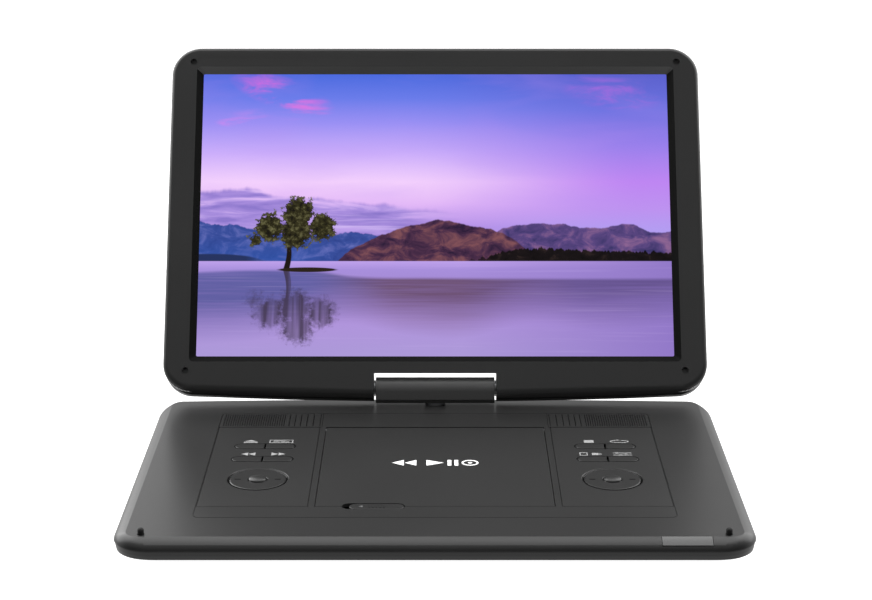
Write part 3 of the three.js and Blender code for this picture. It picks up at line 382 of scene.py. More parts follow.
def raised(name, shapes, origin, across, along, height, material, body, slot):
    """Flat shapes raised by height over a plane through origin. A shape is an outline in millimetres
    along the two given ways, or an (outer, inner) pair of them, which makes a frame."""
    across, along = np.array(across, float), np.array(along, float)
    proud = np.cross(across, along) * height
    points, faces, start = [], [], 0
    for shape in shapes:
        loops = shape if isinstance(shape, tuple) else (shape,)
        count = len(loops[0])
        here = np.arange(count)
        then = np.roll(here, -1)
        for loop in loops:
            low = np.asarray(origin, float) + MM * (loop[:, :1] * across + loop[:, 1:] * along)
            points += [low, low + proud]
        low, high = start, start + count
        faces += np.stack([low + here, low + then, high + then, high + here], -1).tolist()
        if len(loops) == 1:
            faces += [(high + here).tolist(), (low + here[::-1]).tolist()]
        else:
            inner, roof = start + 2 * count, start + 3 * count
            faces += np.stack([inner + then, inner + here, roof + here, roof + then], -1).tolist()
            faces += np.stack([high + here, high + then, roof + then, roof + here], -1).tolist()
            faces += np.stack([low + then, low + here, inner + here, inner + then], -1).tolist()
        start += 2 * count * len(loops)
    mesh = bpy.data.meshes.new(name)
    mesh.from_pydata(np.vstack(points).tolist(), [], faces)
    mesh.materials.append(material)
    piece = bpy.data.objects.new(name, mesh)
    scene.collection.objects.link(piece)
    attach(piece, body)
    return piece


FLAT_WAYS = ((1.0, 0.0, 0.0), (0.0, 1.0, 0.0))


def printed(name, level, painted_glow=0.0):
    """Pad-printing ink: matt, with thin patches where less ink has taken, and a painted glow, an emission that is
    painted light.
    """
    finish = Finish(name, Roughness=0.5)
    thin = finish.span(finish.noise(finish.place(), 1800.0, 3.0), 0.3, 0.6)
    finish.feed(finish.shader, "Base Color", finish.mix(thin, grey(level - 26), grey(level)))
    finish.feed(finish.shader, "Emission Color", (1.0, 1.0, 1.0, 1.0))
    finish.feed(finish.shader, "Emission Strength", painted_glow)
    return finish.material


INK = 0.04 * MM
# the inks' emission is painted light: faint on the key signs, strong on the lid's signs
sign_ink = printed("sign_ink", 176, 0.02)
lid_ink = printed("lid_ink", 245, 0.6)


def pointer(x, way, width, half):
    """A triangle that points to the left or the right, from its flat side at x."""
    tip, flat = (x + way * width, 0.0), [(x, -half), (x, half)]
    return np.array([flat[0], tip, flat[1]] if way > 0 else [tip, flat[0], flat[1]], float)


SIGN_HALF = 2.7
SIGN_BEHIND_KEY = 9.0 * MM
key_signs = {
    "key_left_upper_left": [np.array([(-4.6, -0.4), (4.6, -0.4), (0, 2.8)]), block(-4.6, 4.6, -2.7, -1.5)],
    "key_left_upper_right": [
        (block(-7.8, 7.8, -2.9, 2.9), block(-7.2, 7.2, -2.1, 2.1)),
        block(-5.2, -1.2, -1.2, -0.4),
        block(-0.2, 5.2, -1.2, -0.4),
        block(-5.2, 2.4, 0.5, 1.3),
    ],
    "key_left_lower_left": [pointer(0.2, -1, 4.4, SIGN_HALF), pointer(4.8, -1, 4.4, SIGN_HALF)],
    "key_left_lower_right": [pointer(-4.8, 1, 4.4, SIGN_HALF), pointer(-0.2, 1, 4.4, SIGN_HALF)],
    "key_right_upper_left": [block(-3.2, 3.2, -2.5, 2.5)],
    "key_right_upper_right": [
        (oval(6.2, 2.7), oval(5.4, 1.8)),
        np.array([(-1.5, 1.0), (1.8, 2.3), (-1.5, 3.6)]),
    ],
    "key_right_lower_left": [
        (block(-7.6, -2.4, -2.8, 2.8), block(-6.9, -3.1, -2.0, 2.0)),
        block(0.4, 4.6, -1.9, 1.9),
        block(4.6, 6.6, 0.6, 1.3),
        block(4.6, 6.6, -1.3, -0.6),
    ],
    "key_right_lower_right": [
        shape
        for rung, knob in ((2.3, -3.4), (0.0, 2.4), (-2.3, -1.2))
        for shape in (
            block(-6, 6, rung - 0.3, rung + 0.3),
            block(knob - 0.9, knob + 0.9, rung - 1.0, rung + 1.0),
        )
    ],
}
for key, shapes in key_signs.items():
    spot = middle(key, deck_z) + (0.0, SIGN_BEHIND_KEY, 0.0)
    raised(key + "_sign", shapes, spot, *FLAT_WAYS, INK, sign_ink, "base", "panel_plastic")

LID_SIGN_HALF = 5.0
LID_SIGN_BEHIND = 3.5 * MM  # the lid's centre
DISC_SIGN = 22.4
lid_shapes = [
    pointer(-20.0, -1, 7.5, LID_SIGN_HALF),
    pointer(-12.0, -1, 7.5, LID_SIGN_HALF),
    pointer(-5.5, 1, 11.0, LID_SIGN_HALF),
    block(8.0, 10.4, -LID_SIGN_HALF, LID_SIGN_HALF),
    block(12.4, 14.8, -LID_SIGN_HALF, LID_SIGN_HALF),
    (oval(5.4, LID_SIGN_HALF, DISC_SIGN), oval(4.3, 3.7, DISC_SIGN)),
    oval(1.4, 1.3, DISC_SIGN),
]
spot = np.array([0.0, middle("disc_lid")[1] + LID_SIGN_BEHIND, deck_z])
raised("disc_lid_signs", lid_shapes, spot, *FLAT_WAYS, INK, lid_ink, "lid", "panel_plastic")

# ---------------------------------------------------------------------------------------------
# Navigation rings: each dished ring of satin plastic sits in a near-black film on its panel, wider at
# the front, that is painted shade of the gap round the ring; it has a near-black dash at its left and
# right, painted shade of a moulded dash, and a domed button in its middle.
SEAM_WELD = 0.001 * MM
TURNED_CREASE = math.radians(35)


def weld(mesh):
    """Joins the points that lie together, at a seam or a pole, and turns every face outward."""
    skin = bmesh.new()
    skin.from_mesh(mesh)
    bmesh.ops.remove_doubles(skin, verts=skin.verts, dist=SEAM_WELD)
    bmesh.ops.recalc_face_normals(skin, faces=skin.faces)
    skin.to_mesh(mesh)
    skin.free()


def grid_quads(rows, columns, closed):
    """The quads between the points of a grid, whose last column joins its first if it is closed."""
    index = np.arange(rows * columns).reshape(rows, columns)
    if closed:
        index = np.hstack([index, index[:, :1]])
    return np.stack([index[:-1, :-1], index[:-1, 1:], index[1:, 1:], index[1:, :-1]], -1).reshape(-1, 4)


def turned(name, profile, centre, axis, material, body, steps=48):
    """A closed turned piece: (radius, height) points in millimetres, swept round an axis from a centre.
    The profile starts and ends on the axis and runs anticlockwise, so that the skin faces out."""
    axis = np.array(axis, float)
    side_way = np.cross(axis, (0.0, 1.0, 0.0) if abs(axis[1]) < 0.9 else (1.0, 0.0, 0.0))
    side_way /= np.linalg.norm(side_way)
    other_way = np.cross(axis, side_way)
    angle = np.linspace(0, 2 * np.pi, steps, endpoint=False)[None, :, None]
    radius = np.array(profile, float)[:, :1, None] * MM
    height = np.array(profile, float)[:, 1:, None] * MM
    outward = np.cos(angle) * side_way + np.sin(angle) * other_way
    points = np.asarray(centre) + radius * outward + height * axis
    quads = grid_quads(len(profile), steps, True)
    mesh = bpy.data.meshes.new(name)
    mesh.from_pydata(points.reshape(-1, 3).tolist(), [], quads.tolist())
    weld(mesh)
    mesh.shade_smooth()
    mesh.set_sharp_from_angle(angle=TURNED_CREASE)
    mesh.materials.append(material)
    piece = bpy.data.objects.new(name, mesh)
    scene.collection.objects.link(piece)
    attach(piece, body)
    return piece


def touch(node, start, way):
    """The first place where a line from start along way meets a CAD piece."""
    mesh = frame["nodes"][node].data
    tree = BVHTree.FromPolygons([v.co for v in mesh.vertices], [p.vertices for p in mesh.polygons])
    return np.array(tree.ray_cast(Vector(start), Vector(way))[0])


# near-black that stands in for shade: painted shade of the gaps round the rings and keys, of the ring dashes, the
# screw seats and cross recesses and the display's vent slots; the lens holder is black in its own right
black_and_painted_shade = moulded("rebate_shadow", 10, 0.8, gloss=0.04)
RING_OUTER, RING_CLEAR = 17.9, 0.35
GAP_SHADE, GAP_SHADE_SIDE, GAP_SHADE_FRONT = 0.7, 0.3, 0.6
DASH_OUT, DASH_LONG, DASH_DEEP = 12.6, 1.9, 0.45
DASH_SUNK, DASH_HEIGHT = 0.12 * MM, 0.2 * MM
DOME_INSET, DOME_ROOT, DOME_HEIGHT, DOME_SUNK = 0.15, 0.3, 1.8, 0.1 * MM
DOWN, UP = (0, 0, -1), (0, 0, 1)
ABOVE, BELOW = 0.1, -0.1  # where a line down to the deck, or up to the underside, starts
for side in ("left", "right"):
    ring, button = "navigation_ring_" + side, "center_button_" + side
    spot = middle(ring, deck_z)
    wide = RING_OUTER + GAP_SHADE
    outline = (
        oval(wide + GAP_SHADE_SIDE, wide + GAP_SHADE_FRONT, 0, -GAP_SHADE_FRONT, 96),
        oval(RING_OUTER + RING_CLEAR, RING_OUTER + RING_CLEAR, 0, 0, 96),
    )
    # the film round the ring is painted shade of the gap between ring and panel, wider at the front
    raised(ring + "_gap_shade", [outline], spot, *FLAT_WAYS, INK, black_and_painted_shade, "base", "panel_plastic")
    for mark, way in (("left", -1), ("right", 1)):
        dash = touch(ring, spot + (way * DASH_OUT * MM, 0, ABOVE), DOWN)
        dash[2] -= DASH_SUNK
        shape = [block(-DASH_LONG, DASH_LONG, -DASH_DEEP, DASH_DEEP)]
        name, body = f"{ring}_dash_{mark}", node_body[ring]
        raised(name, shape, dash, *FLAT_WAYS, DASH_HEIGHT, black_and_painted_shade, body, "key_plastic")
    low, high = np.array(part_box(button), float)
    reach = (high[0] - low[0]) / 2 / MM - DOME_INSET
    arch = np.radians(np.linspace(0, 90, 10))
    dome = [(0, -DOME_ROOT), (reach, -DOME_ROOT)]
    dome += [(reach * math.cos(a), DOME_HEIGHT * math.sin(a)) for a in arch]
    crown = middle(button, high[2] - DOME_SUNK)
    turned(button + "_dome", dome, crown, UP, key_plastic, node_body[button])

# ---------------------------------------------------------------------------------------------
# Key gap shades: each pair of keys sits in a near-black pill-shaped film on its panel, painted shade of
# the gap round the keys, a little wider along the keys' front edge.
def pill(long, wide, count=12):
    """The outline of a bar with half-round ends, in millimetres."""
    radius, reach = wide / 2, (long - wide) / 2
    tip = oval(radius, radius, reach, 0, count, -90, 90.001)
    return np.vstack([tip, -tip])


KEY_CLEAR, KEY_GAP_SHADE = 0.35, 0.4
for pair in ("left_upper", "left_lower", "right_upper", "right_lower"):
    corners = np.array([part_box(f"key_{pair}_{end}") for end in ("left", "right")], float).reshape(-1, 3)
    low, high = corners.min(axis=0), corners.max(axis=0)
    spot = (low + high) / 2
    spot[2] = deck_z
    long, wide = (high - low)[:2] / MM + 2 * KEY_CLEAR
    outer = pill(long + 2 * KEY_GAP_SHADE, wide + 2 * KEY_GAP_SHADE) - (0, KEY_GAP_SHADE / 2)
    outline, name = (outer, pill(long, wide)), f"key_{pair}_gap_shade"
    raised(name, [outline], spot, *FLAT_WAYS, INK, black_and_painted_shade, "base", "panel_plastic")

# ---------------------------------------------------------------------------------------------
# Lid slider: a satin plastic pill in a track of the lid, with five moulded grip ribs and a small
# printed pointer to the left, the way it slides to open.
RIB_PITCH, RIB_HALF, RIB_REACH, RIB_HEIGHT = 2.2, 0.35, 2.3, 0.3 * MM
SLIDER_INK, SLIDER_SUNK = 0.05 * MM, 0.02 * MM
spot = middle("open_slider", float(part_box("open_slider")[1][2]) - SLIDER_SUNK)
ribs = [block(x - RIB_HALF, x + RIB_HALF, -RIB_REACH, RIB_REACH) for x in np.arange(-2, 3) * RIB_PITCH]
raised("open_slider_grip", ribs, spot, *FLAT_WAYS, RIB_HEIGHT, key_plastic, "slider", "key_plastic")
slider_ink = printed("slider_ink", 105)
mark = [pointer(-8.5, -1, 2.6, 1.5)]
raised("open_slider_sign", mark, spot, *FLAT_WAYS, SLIDER_INK, slider_ink, "slider", "key_plastic")

# ---------------------------------------------------------------------------------------------
# Speakers: a black scrim behind the slots of each grille, over a paper cone with a rubber surround
# in its plastic frame.
scrim = Finish("speaker_scrim", Roughness=0.9, Specular_IOR_Level=0.05)
THREADS = {"Vector": scrim.place(), "Scale": 700.0}
warp = scrim.add("ShaderNodeTexWave", THREADS, bands_direction="X").outputs[1]
weft = scrim.add("ShaderNodeTexWave", THREADS, bands_direction="Y").outputs[1]
thread = scrim.math("MULTIPLY", warp, weft)
scrim.feed(scrim.shader, "Base Color", scrim.mix(thread, grey(10), grey(34)))
scrim.roughen(thread, 0.1 * MM)
SCRIM_UNDER, SCRIM_THICK = 0.45 * MM, 0.3 * MM
SCRIM_ENDS, SCRIM_FRONT, SCRIM_REAR = 2, 1.2, 1.8  # how far it stays inside the grille
for side in ("left", "right"):
    refined("speaker_" + side, chassis_plastic, edge=0.3 * MM)
    low, high = np.array(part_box("speaker_grille_" + side), float)
    spot = middle("speaker_grille_" + side, low[2] - SCRIM_UNDER)
    x, y = ((high - low) / 2 / MM)[:2]
    cloth = [block(-x + SCRIM_ENDS, x - SCRIM_ENDS, -y + SCRIM_FRONT, y - SCRIM_REAR)]
    name = "speaker_scrim_" + side
    raised(name, cloth, spot, *FLAT_WAYS, SCRIM_THICK, scrim.material, "base", "panel_plastic")

# ---------------------------------------------------------------------------------------------
# Screws: blackened steel cross-head screws with domed heads hold the base together from below and the
# display from behind, each on a near-black disc, painted shade of its seat, with its cross recess drawn as a
# near-black film of painted shade; a blank film label is stuck on the base's underside.
screw_steel = plated("blackened_steel", (0.06, 0.06, 0.065, 1.0), 0.38, (1.0, 1.0, 1.0))
SEAT_WIDER, SEAT_ROOT, SEAT_TOP = 0.9, 0.2, 0.04
HEAD_STEPS = 32
CROSS_SHADE_FOOT, CROSS_SHADE_HEIGHT = 0.45 * MM, 0.15 * MM
CROSS_SHADE_ARM, CROSS_SHADE_THICK = 0.62, 0.14  # shares of the head's radius


def screw(name, place, way, body, slot, material=screw_steel, radius=2.6):
    """A domed cross-head on a surface: a turned head on a near-black disc, painted shade of its seat, with its
    cross recess drawn as a near-black film of painted shade.
    """
    way = np.array(way, float)
    wide = radius + SEAT_WIDER
    seat = [(0, -SEAT_ROOT), (wide, -SEAT_ROOT), (wide, SEAT_TOP), (0, SEAT_TOP)]
    turned(name + "_seat", seat, place, way, black_and_painted_shade, body)
    head = [(0, 0), (radius, 0), (radius, 0.2), (radius * 0.8, 0.42), (radius * 0.4, 0.55), (0, 0.58)]
    turned(name, head, place, way, material, body, HEAD_STEPS)
    across = np.cross(way, (0.0, 1.0, 0.0) if abs(way[1]) < 0.6 else (1.0, 0.0, 0.0))
    across /= np.linalg.norm(across)
    along = np.cross(way, across)
    arm, thick = radius * CROSS_SHADE_ARM, radius * CROSS_SHADE_THICK
    cross = [block(-arm, arm, -thick, thick), block(-thick, thick, -arm, arm)]
    foot = place + way * CROSS_SHADE_FOOT
    raised(name + "_recess_shade", cross, foot, across, along, CROSS_SHADE_HEIGHT, black_and_painted_shade, body, slot)


BASE_SCREWS = [(-120, -120), (120, -120), (-120, 46), (120, 46), (-40, -40), (40, -40)]
for row, (x, y) in enumerate(BASE_SCREWS):
    under = touch("base_lower_shell", (x * MM, y * MM, BELOW), UP)
    screw(f"base_screw_{row}", under, DOWN, "base", "shell_plastic")

LABEL_LIFT, LABEL_THICK = 0.02 * MM, 0.12 * MM
LABEL_ALONG = -60 * MM
label = moulded("label_film", 150, 0.35, grain=0.002 * MM)
place = touch("base_lower_shell", (0.0, LABEL_ALONG, BELOW), UP) + (0, 0, LABEL_LIFT)
plate = [block(-42, 42, -16, 16)]
raised("rating_label", plate, place, (1, 0, 0), (0, -1, 0), LABEL_THICK, label, "base", "shell_plastic")

# ---------------------------------------------------------------------------------------------
# Disc bay: the pick-up's objective lens in its black ring on the sled, a rubber seat on the
# turntable, and the screws of the loader.
for part in ("laser_sled", "sled_rail_left", "sled_rail_right", "spindle_motor"):
    refined(part, steel)
for part in ("lid_hinge_pin_left", "lid_hinge_pin_right"):
    refined(part, steel)
for part in ("loader_chassis", "turntable_hub"):
    refined(part, chassis_plastic)
lens_glass = Finish(
    "objective_lens", Base_Color=(0.05, 0.12, 0.3, 1.0), Roughness=0.03, Coat_Weight=1.0
).material
LENS_ALONG = 2.5 * MM  # behind the sled's middle
LENS_RADIUS, LENS_FOOT, LENS_RIM, LENS_DOME = 3.1, 0.2, 0.3, 0.6
spot = middle("laser_sled")
spot = touch("laser_sled", (spot[0], spot[1] + LENS_ALONG, ABOVE), DOWN)
holder = [(0, -0.3), (5.2, -0.3), (5.2, 0.5), (4.8, 0.8), (3.6, 0.8), (3.2, 0.3), (0, 0.3)]
turned("lens_holder", holder, spot, UP, black_and_painted_shade, "sled")
arch = np.radians(np.linspace(0, 90, 8))
lens = [(0, LENS_FOOT), (LENS_RADIUS, LENS_FOOT)]
lens += [(LENS_RADIUS * math.cos(a), LENS_RIM + LENS_DOME * math.sin(a)) for a in arch]
turned("objective_lens", lens, spot, UP, lens_glass, "sled")
SEAT_PLACE, SEAT_OUTER, SEAT_INNER, SEAT_HEIGHT = 11.2 * MM, 12.6, 9.8, 0.3 * MM
hub = middle("turntable_hub")
hub[2] = touch("turntable_hub", (hub[0] + SEAT_PLACE, hub[1], ABOVE), DOWN)[2]
seat = (oval(SEAT_OUTER, SEAT_OUTER, count=64), oval(SEAT_INNER, SEAT_INNER, count=64))
raised("turntable_seat", [seat], hub, *FLAT_WAYS, SEAT_HEIGHT, rubber, "turntable", "chassis_plastic")
for row, (x, y) in enumerate([(-60, -118), (60, -118), (-60, -8), (60, -8)]):
    spot = touch("loader_chassis", (x * MM, y * MM, ABOVE), DOWN)
    screw(f"loader_screw_{row}", spot, UP, "base", "chassis_plastic", steel, 2.4)

# ---------------------------------------------------------------------------------------------
# Sockets: a USB socket and a card slot in pressed steel on the left side, three round jacks with
# nickel rings on the right side.
gold = Finish("contact_gold", Metallic=1.0, Roughness=0.25, Base_Color=(0.9, 0.62, 0.25, 1.0)).material
for part in ("usb_port", "card_slot"):
    refined(part, steel)
for part in ("av_jack", "dc_jack", "headphone_jack"):
    refined(part, chassis_plastic)
TONGUE_INSIDE, TONGUE_UP, TONGUE_THICK = 2.0 * MM, 0.5 * MM, 1.6 * MM
CONTACT_THICK = 0.12 * MM
low, high = np.array(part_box("usb_port"), float)
tongue = np.array([low[0] + TONGUE_INSIDE, (low[1] + high[1]) / 2, (low[2] + high[2]) / 2 + TONGUE_UP])
tongue_plastic = moulded("socket_tongue", 225, 0.4)
plate = [block(0, 12, -5.4, 5.4)]
raised("usb_tongue", plate, tongue, *FLAT_WAYS, TONGUE_THICK, tongue_plastic, "base", "steel")
pins = [block(0.8, 9.5, y - 0.6, y + 0.6) for y in (-3.6, -1.3, 1.3, 3.6)]
raised("usb_contacts", pins, tongue, (1, 0, 0), (0, -1, 0), CONTACT_THICK, gold, "base", "steel")
JACK_RING, JACK_HEIGHT, JACK_SUNK = 3.2, 0.4 * MM, 0.05 * MM
PIN_DEEP = 8.5 * MM
for jack, hole in (("av_jack", 1.9), ("headphone_jack", 1.9), ("dc_jack", 2.7)):
    low, high = np.array(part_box(jack), float)
    mouth = np.array([high[0] - JACK_SUNK, (low[1] + high[1]) / 2, (low[2] + high[2]) / 2])
    ring = (oval(JACK_RING, JACK_RING, count=40), oval(hole, hole, count=40))
    name = jack + "_ring"
    raised(name, [ring], mouth, (0, 1, 0), UP, JACK_HEIGHT, steel, "base", "chassis_plastic")
pin = [(0, 0), (0.6, 0), (0.6, 7.5), (0.3, 8), (0, 8)]
turned("dc_pin", pin, mouth - (PIN_DEEP, 0, 0), (1, 0, 0), gold, "base", 20)

# ---------------------------------------------------------------------------------------------
# Boards, battery and windows inside: green solder mask with copper tracks, a blue shrink film on
# the battery, a smoked infrared window and the dark glass round the lit area.
solder = Finish("solder_mask", Roughness=0.32, Specular_IOR_Level=0.5)
tracks = solder.add("ShaderNodeTexBrick", {"Vector": solder.place(), "Scale": 240.0, "Mortar Size": 0.06})
mask = solder.mix(tracks.outputs["Fac"], (0.015, 0.13, 0.045, 1.0), (0.03, 0.2, 0.08, 1.0))
solder.feed(solder.shader, "Base Color", mask)
solder.roughen(tracks.outputs["Fac"], 0.03 * MM)
wrap = Finish("battery_film", Coat_Weight=0.4)
creases = wrap.noise(wrap.place(), 220.0, 4.0, 0.6, 0.4)
wrap.feed(wrap.shader, "Base Color", wrap.mix(creases, (0.02, 0.06, 0.24, 1.0), (0.04, 0.1, 0.36, 1.0)))
wrap.feed(wrap.shader, "Roughness", wrap.span(creases, 0.3, 0.7, 0.3, 0.45))
wrap.roughen(creases, 0.15 * MM)
smoke = Finish("smoked_window", Roughness=0.1, Coat_Weight=0.6)
smoke_cloud = smoke.noise(smoke.place(), 400.0, 2.0)
smoke.feed(smoke.shader, "Base Color", smoke.mix(smoke_cloud, grey(54), grey(62)))
glass = Finish("display_glass", Specular_IOR_Level=0.5)
haze_spots = glass.noise(glass.place(), 30.0, 3.0)
glass.feed(glass.shader, "Base Color", glass.mix(haze_spots, grey(10), grey(15)))
glass.feed(glass.shader, "Roughness", glass.span(haze_spots, 0.3, 0.7, 0.12, 0.2))
looks = {"circuit_board": solder, "battery_wrap": wrap, "infrared_window": smoke, "display_glass": glass}
for node in frame["nodes"]:
    if node_slot[node] in looks:
        refined(node, looks[node_slot[node]].material)

# ---------------------------------------------------------------------------------------------
# The lit picture: a still lake at dusk under a violet sky, with far blue hills, a brown ridge and
# its reflection, shown by the display's cell.
LEAN = math.radians(30)
up = np.array([0.0, math.sin(LEAN), math.cos(LEAN)])
out = np.array([0.0, -math.cos(LEAN), math.sin(LEAN)])
right = np.array([1.0, 0.0, 0.0])


def on_display(across, height, proud):
    """Points given across the display, up it from the hinge axis and towards the viewer."""
    grids = np.broadcast_arrays(across, height, proud)
    return hinge_point + grids[0][..., None] * right + grids[1][..., None] * up + grids[2][..., None] * out


def surface(name, points, material, uv=None, closed=False):
    """A smooth mesh over a grid of points, shape (rows, columns, 3), with one quad for each cell."""
    quads = grid_quads(*points.shape[:2], closed)
    mesh = bpy.data.meshes.new(name)
    mesh.from_pydata(points.reshape(-1, 3).tolist(), [], quads.tolist())
    mesh.shade_smooth()
    mesh.materials.append(material)
    if uv is not None:
        layer = mesh.uv_layers.new(name="sheet")
        layer.data.foreach_set("uv", uv.reshape(-1, 2)[quads.ravel()].astype(np.float32).ravel())
    piece = bpy.data.objects.new(name, mesh)
    scene.collection.objects.link(piece)
    return piece


LIT_WIDTH, LIT_HEIGHT = 331.2 * MM, 207.0 * MM
LIT_BOTTOM = 21.3 * MM
PICTURE_PROUD = 5.6 * MM
share_u = np.linspace(0.0, 1.0, 33)[None, :]
share_v = np.linspace(0.0, 1.0, 21)[:, None]
lake = Finish("lake_picture", Base_Color=(0.0, 0.0, 0.0, 1.0), Roughness=0.3, Specular_IOR_Level=0.1)
sheet = lake.add("ShaderNodeSeparateXYZ", {0: lake.add("ShaderNodeUVMap", uv_map="sheet").outputs[0]})
lake_u, lake_v = sheet.outputs["X"], sheet.outputs["Y"]
ASPECT = LIT_WIDTH / LIT_HEIGHT


def stretched(across, upwards, shift=0.0):
    """The picture's place with its width and height stretched, for drawn-out noise."""
    x = lake.math("ADD", lake.math("MULTIPLY", lake_u, across * ASPECT), shift)
    return lake.add("ShaderNodeCombineXYZ", {0: x, 1: lake.math("MULTIPLY", lake_v, upwards)}).outputs[0]


def ramp(value, stops):
    """Colours by height, from (place, colour) stops."""
    node = lake.add("ShaderNodeValToRGB", {0: value})
    band = node.color_ramp
    for place, colour in stops[2:]:
        band.elements.new(place)
    for element, (place, colour) in zip(band.elements, stops):
        element.position = place
        element.color = paint(colour)
    return node.outputs[0]


def profile(*points):
    """A height over the picture's width, smooth through a few (across, height) points."""
    return lake.curve(lake_u, points)


def below(height, blur=0.003):
    """1 under a height in the picture and 0 above it."""
    gap = lake.math("SUBTRACT", height, lake_v)
    return lake.span(gap, -blur, blur, smooth=True)


def jagged(height, scale, reach):
    """A skyline roughened by noise along the picture's width."""
    wander = lake.span(lake.noise(stretched(1.0, 0.0), scale, 4.0, 0.55), 0.3, 0.7, -reach, reach)
    return lake.math("ADD", height, wander)


WATERLINE = 0.33
LEFT_SKY = [(0.45, "#b48fe4"), (0.53, "#e6bcf8"), (0.61, "#f3d0fd"), (0.71, "#ccaefb"), (0.82, "#9a90f4")]
LEFT_SKY += [(0.91, "#6a7cea"), (1.0, "#4a6ade")]
RIGHT_SKY = [(0.43, "#b2a0f2"), (0.51, "#bd92f0"), (0.61, "#be86f2"), (0.73, "#9c80ec"), (0.87, "#6c72e0")]
RIGHT_SKY += [(1.0, "#5a60cc")]
to_right = lake.span(lake_u, 0.4, 0.95, smooth=True)
colour = lake.mix(to_right, ramp(lake_v, LEFT_SKY), ramp(lake_v, RIGHT_SKY))
haze = lake.noise(stretched(0.8, 3.0, 3.1), 2.4, 4.0, 0.5, 0.4)
colour = lake.mix(lake.span(haze, 0.45, 0.75, 0.0, 0.25), colour, paint("#b58ef0"))


def patch(across, upwards, width, height, tilt=0.0):
    """A soft oval in the picture, 1 in its middle and 0 at its rim, its right end lower by tilt."""
    x = lake.math("DIVIDE", lake.math("SUBTRACT", lake_u, across), width)
    rise = lake.math("SUBTRACT", lake_v, lake.math("SUBTRACT", upwards, lake.math("MULTIPLY", x, tilt)))
    y = lake.math("DIVIDE", rise, height)
    reach = lake.math("ADD", lake.math("POWER", lake.math("ABSOLUTE", x), 2.0), lake.math("MULTIPLY", y, y))
    return lake.span(reach, 1.0, 0.0, smooth=True)


# pink wisps high on the left and faintly on the right
wisps = lake.span(lake.noise(stretched(1.4, 5.0), 3.2, 5.0, 0.6, 0.8), 0.42, 0.68, smooth=True)
for across, upwards, width, height, tilt, strength, tint in (
    (0.17, 0.93, 0.12, 0.07, 0.06, 0.95, "#e46ae0"),
    (0.22, 0.88, 0.06, 0.035, 0.02, 0.7, "#e07be2"),
    (0.08, 0.825, 0.06, 0.022, 0.0, 0.85, "#dd86ee"),
    (0.14, 0.85, 0.1, 0.03, 0.0, 0.5, "#b98af0"),
    (0.88, 0.93, 0.12, 0.07, 0.02, 0.7, "#b26be0"),
):
    share = lake.math("MULTIPLY", patch(across, upwards, width, height, tilt), wisps)
    colour = lake.mix(lake.math("MULTIPLY", share, strength, clamp=True), colour, paint(tint))

# low violet cloud banks over the left half, with pale streaks between
bank_top = profile(
    (0.0, 0.575), (0.1, 0.58), (0.17, 0.558), (0.27, 0.545), (0.36, 0.53), (0.48, 0.512), (1.0, 0.4)
)
bank_noise = lake.noise(stretched(1.0, 7.0, 7.3), 4.0, 5.0, 0.55, 0.5)
bank = lake.math("MULTIPLY", below(jagged(bank_top, 9.0, 0.012), 0.01), lake.span(lake_u, 0.56, 0.42))
bank = lake.math("MULTIPLY", bank, lake.span(bank_noise, 0.3, 0.5, 0.35, 1.0, smooth=True))
bank_colour = ramp(bank_noise, [(0.3, "#c9b0f0"), (0.5, "#a98ede"), (0.65, "#8d78cc")])
colour = lake.mix(bank, colour, bank_colour)
streak = lake.math("MULTIPLY", lake.span(lake.noise(stretched(0.7, 16.0, 1.7), 3.0, 3.0), 0.52, 0.66), bank)
low_part = lake.span(lake_v, 0.52, 0.46)
streak = lake.math("MULTIPLY", lake.math("MULTIPLY", streak, low_part), 0.7)
colour = lake.mix(streak, colour, paint("#dcc4fa"))

# far blue range on the left, purple ranges on the right, a brown hill between them
rock = lake.noise(stretched(2.2, 3.4, 5.0), 7.0, 6.0, 0.62, 0.6)
for points, reach, stops in (
    (
        [(0.0, 0.472), (0.05, 0.455), (0.1, 0.45), (0.16, 0.43), (0.24, 0.425), (0.3, 0.43), (0.36, 0.425)]
        + [(0.42, 0.36), (0.5, 0.3), (1.0, 0.2)],
        0.012,
        [(0.3, "#2b3f88"), (0.5, "#3a4f9c"), (0.7, "#6a72bc")],
    ),
    (
        [(0.0, 0.2), (0.55, 0.3), (0.63, 0.435), (0.71, 0.462), (0.78, 0.457), (0.83, 0.443), (0.88, 0.456)]
        + [(0.92, 0.459), (0.95, 0.437), (1.0, 0.43)],
        0.008,
        [(0.32, "#3a3468"), (0.5, "#5a4680"), (0.68, "#8c6492")],
    ),
    (
        [(0.0, 0.2), (0.27, 0.31), (0.33, 0.378), (0.39, 0.421), (0.45, 0.457), (0.52, 0.472), (0.58, 0.452)]
        + [(0.64, 0.43), (0.7, 0.365), (0.76, 0.3), (1.0, 0.2)],
        0.007,
        [(0.33, "#2c1c38"), (0.48, "#4c2e49"), (0.66, "#825158")],
    ),
):
    colour = lake.mix(below(jagged(profile(*points), 14.0, reach)), colour, ramp(rock, stops))
mist = lake.math("MULTIPLY", lake.span(lake_v, 0.42, 0.34), lake.span(lake_u, 0.3, 0.2))
colour = lake.mix(lake.math("MULTIPLY", mist, 0.5), colour, paint("#2f58b0"))

# dark shore woods on the right and a low headland on the left
woods = profile(
    (0.0, 0.355), (0.1, 0.348), (0.15, 0.33), (0.5, 0.32),
    (0.6, 0.34), (0.66, 0.368), (0.85, 0.366), (1.0, 0.36),
)
colour = lake.mix(
    lake.math("MULTIPLY", below(jagged(woods, 60.0, 0.01)), lake.span(lake_u, 0.5, 0.62)),
    colour,
    ramp(rock, [(0.3, "#0c0a0b"), (0.55, "#191315"), (0.7, "#362a27")]),
)
headland = lake.math("MULTIPLY", below(woods), lake.span(lake_u, 0.16, 0.1))
colour = lake.mix(headland, colour, paint("#26335f"))

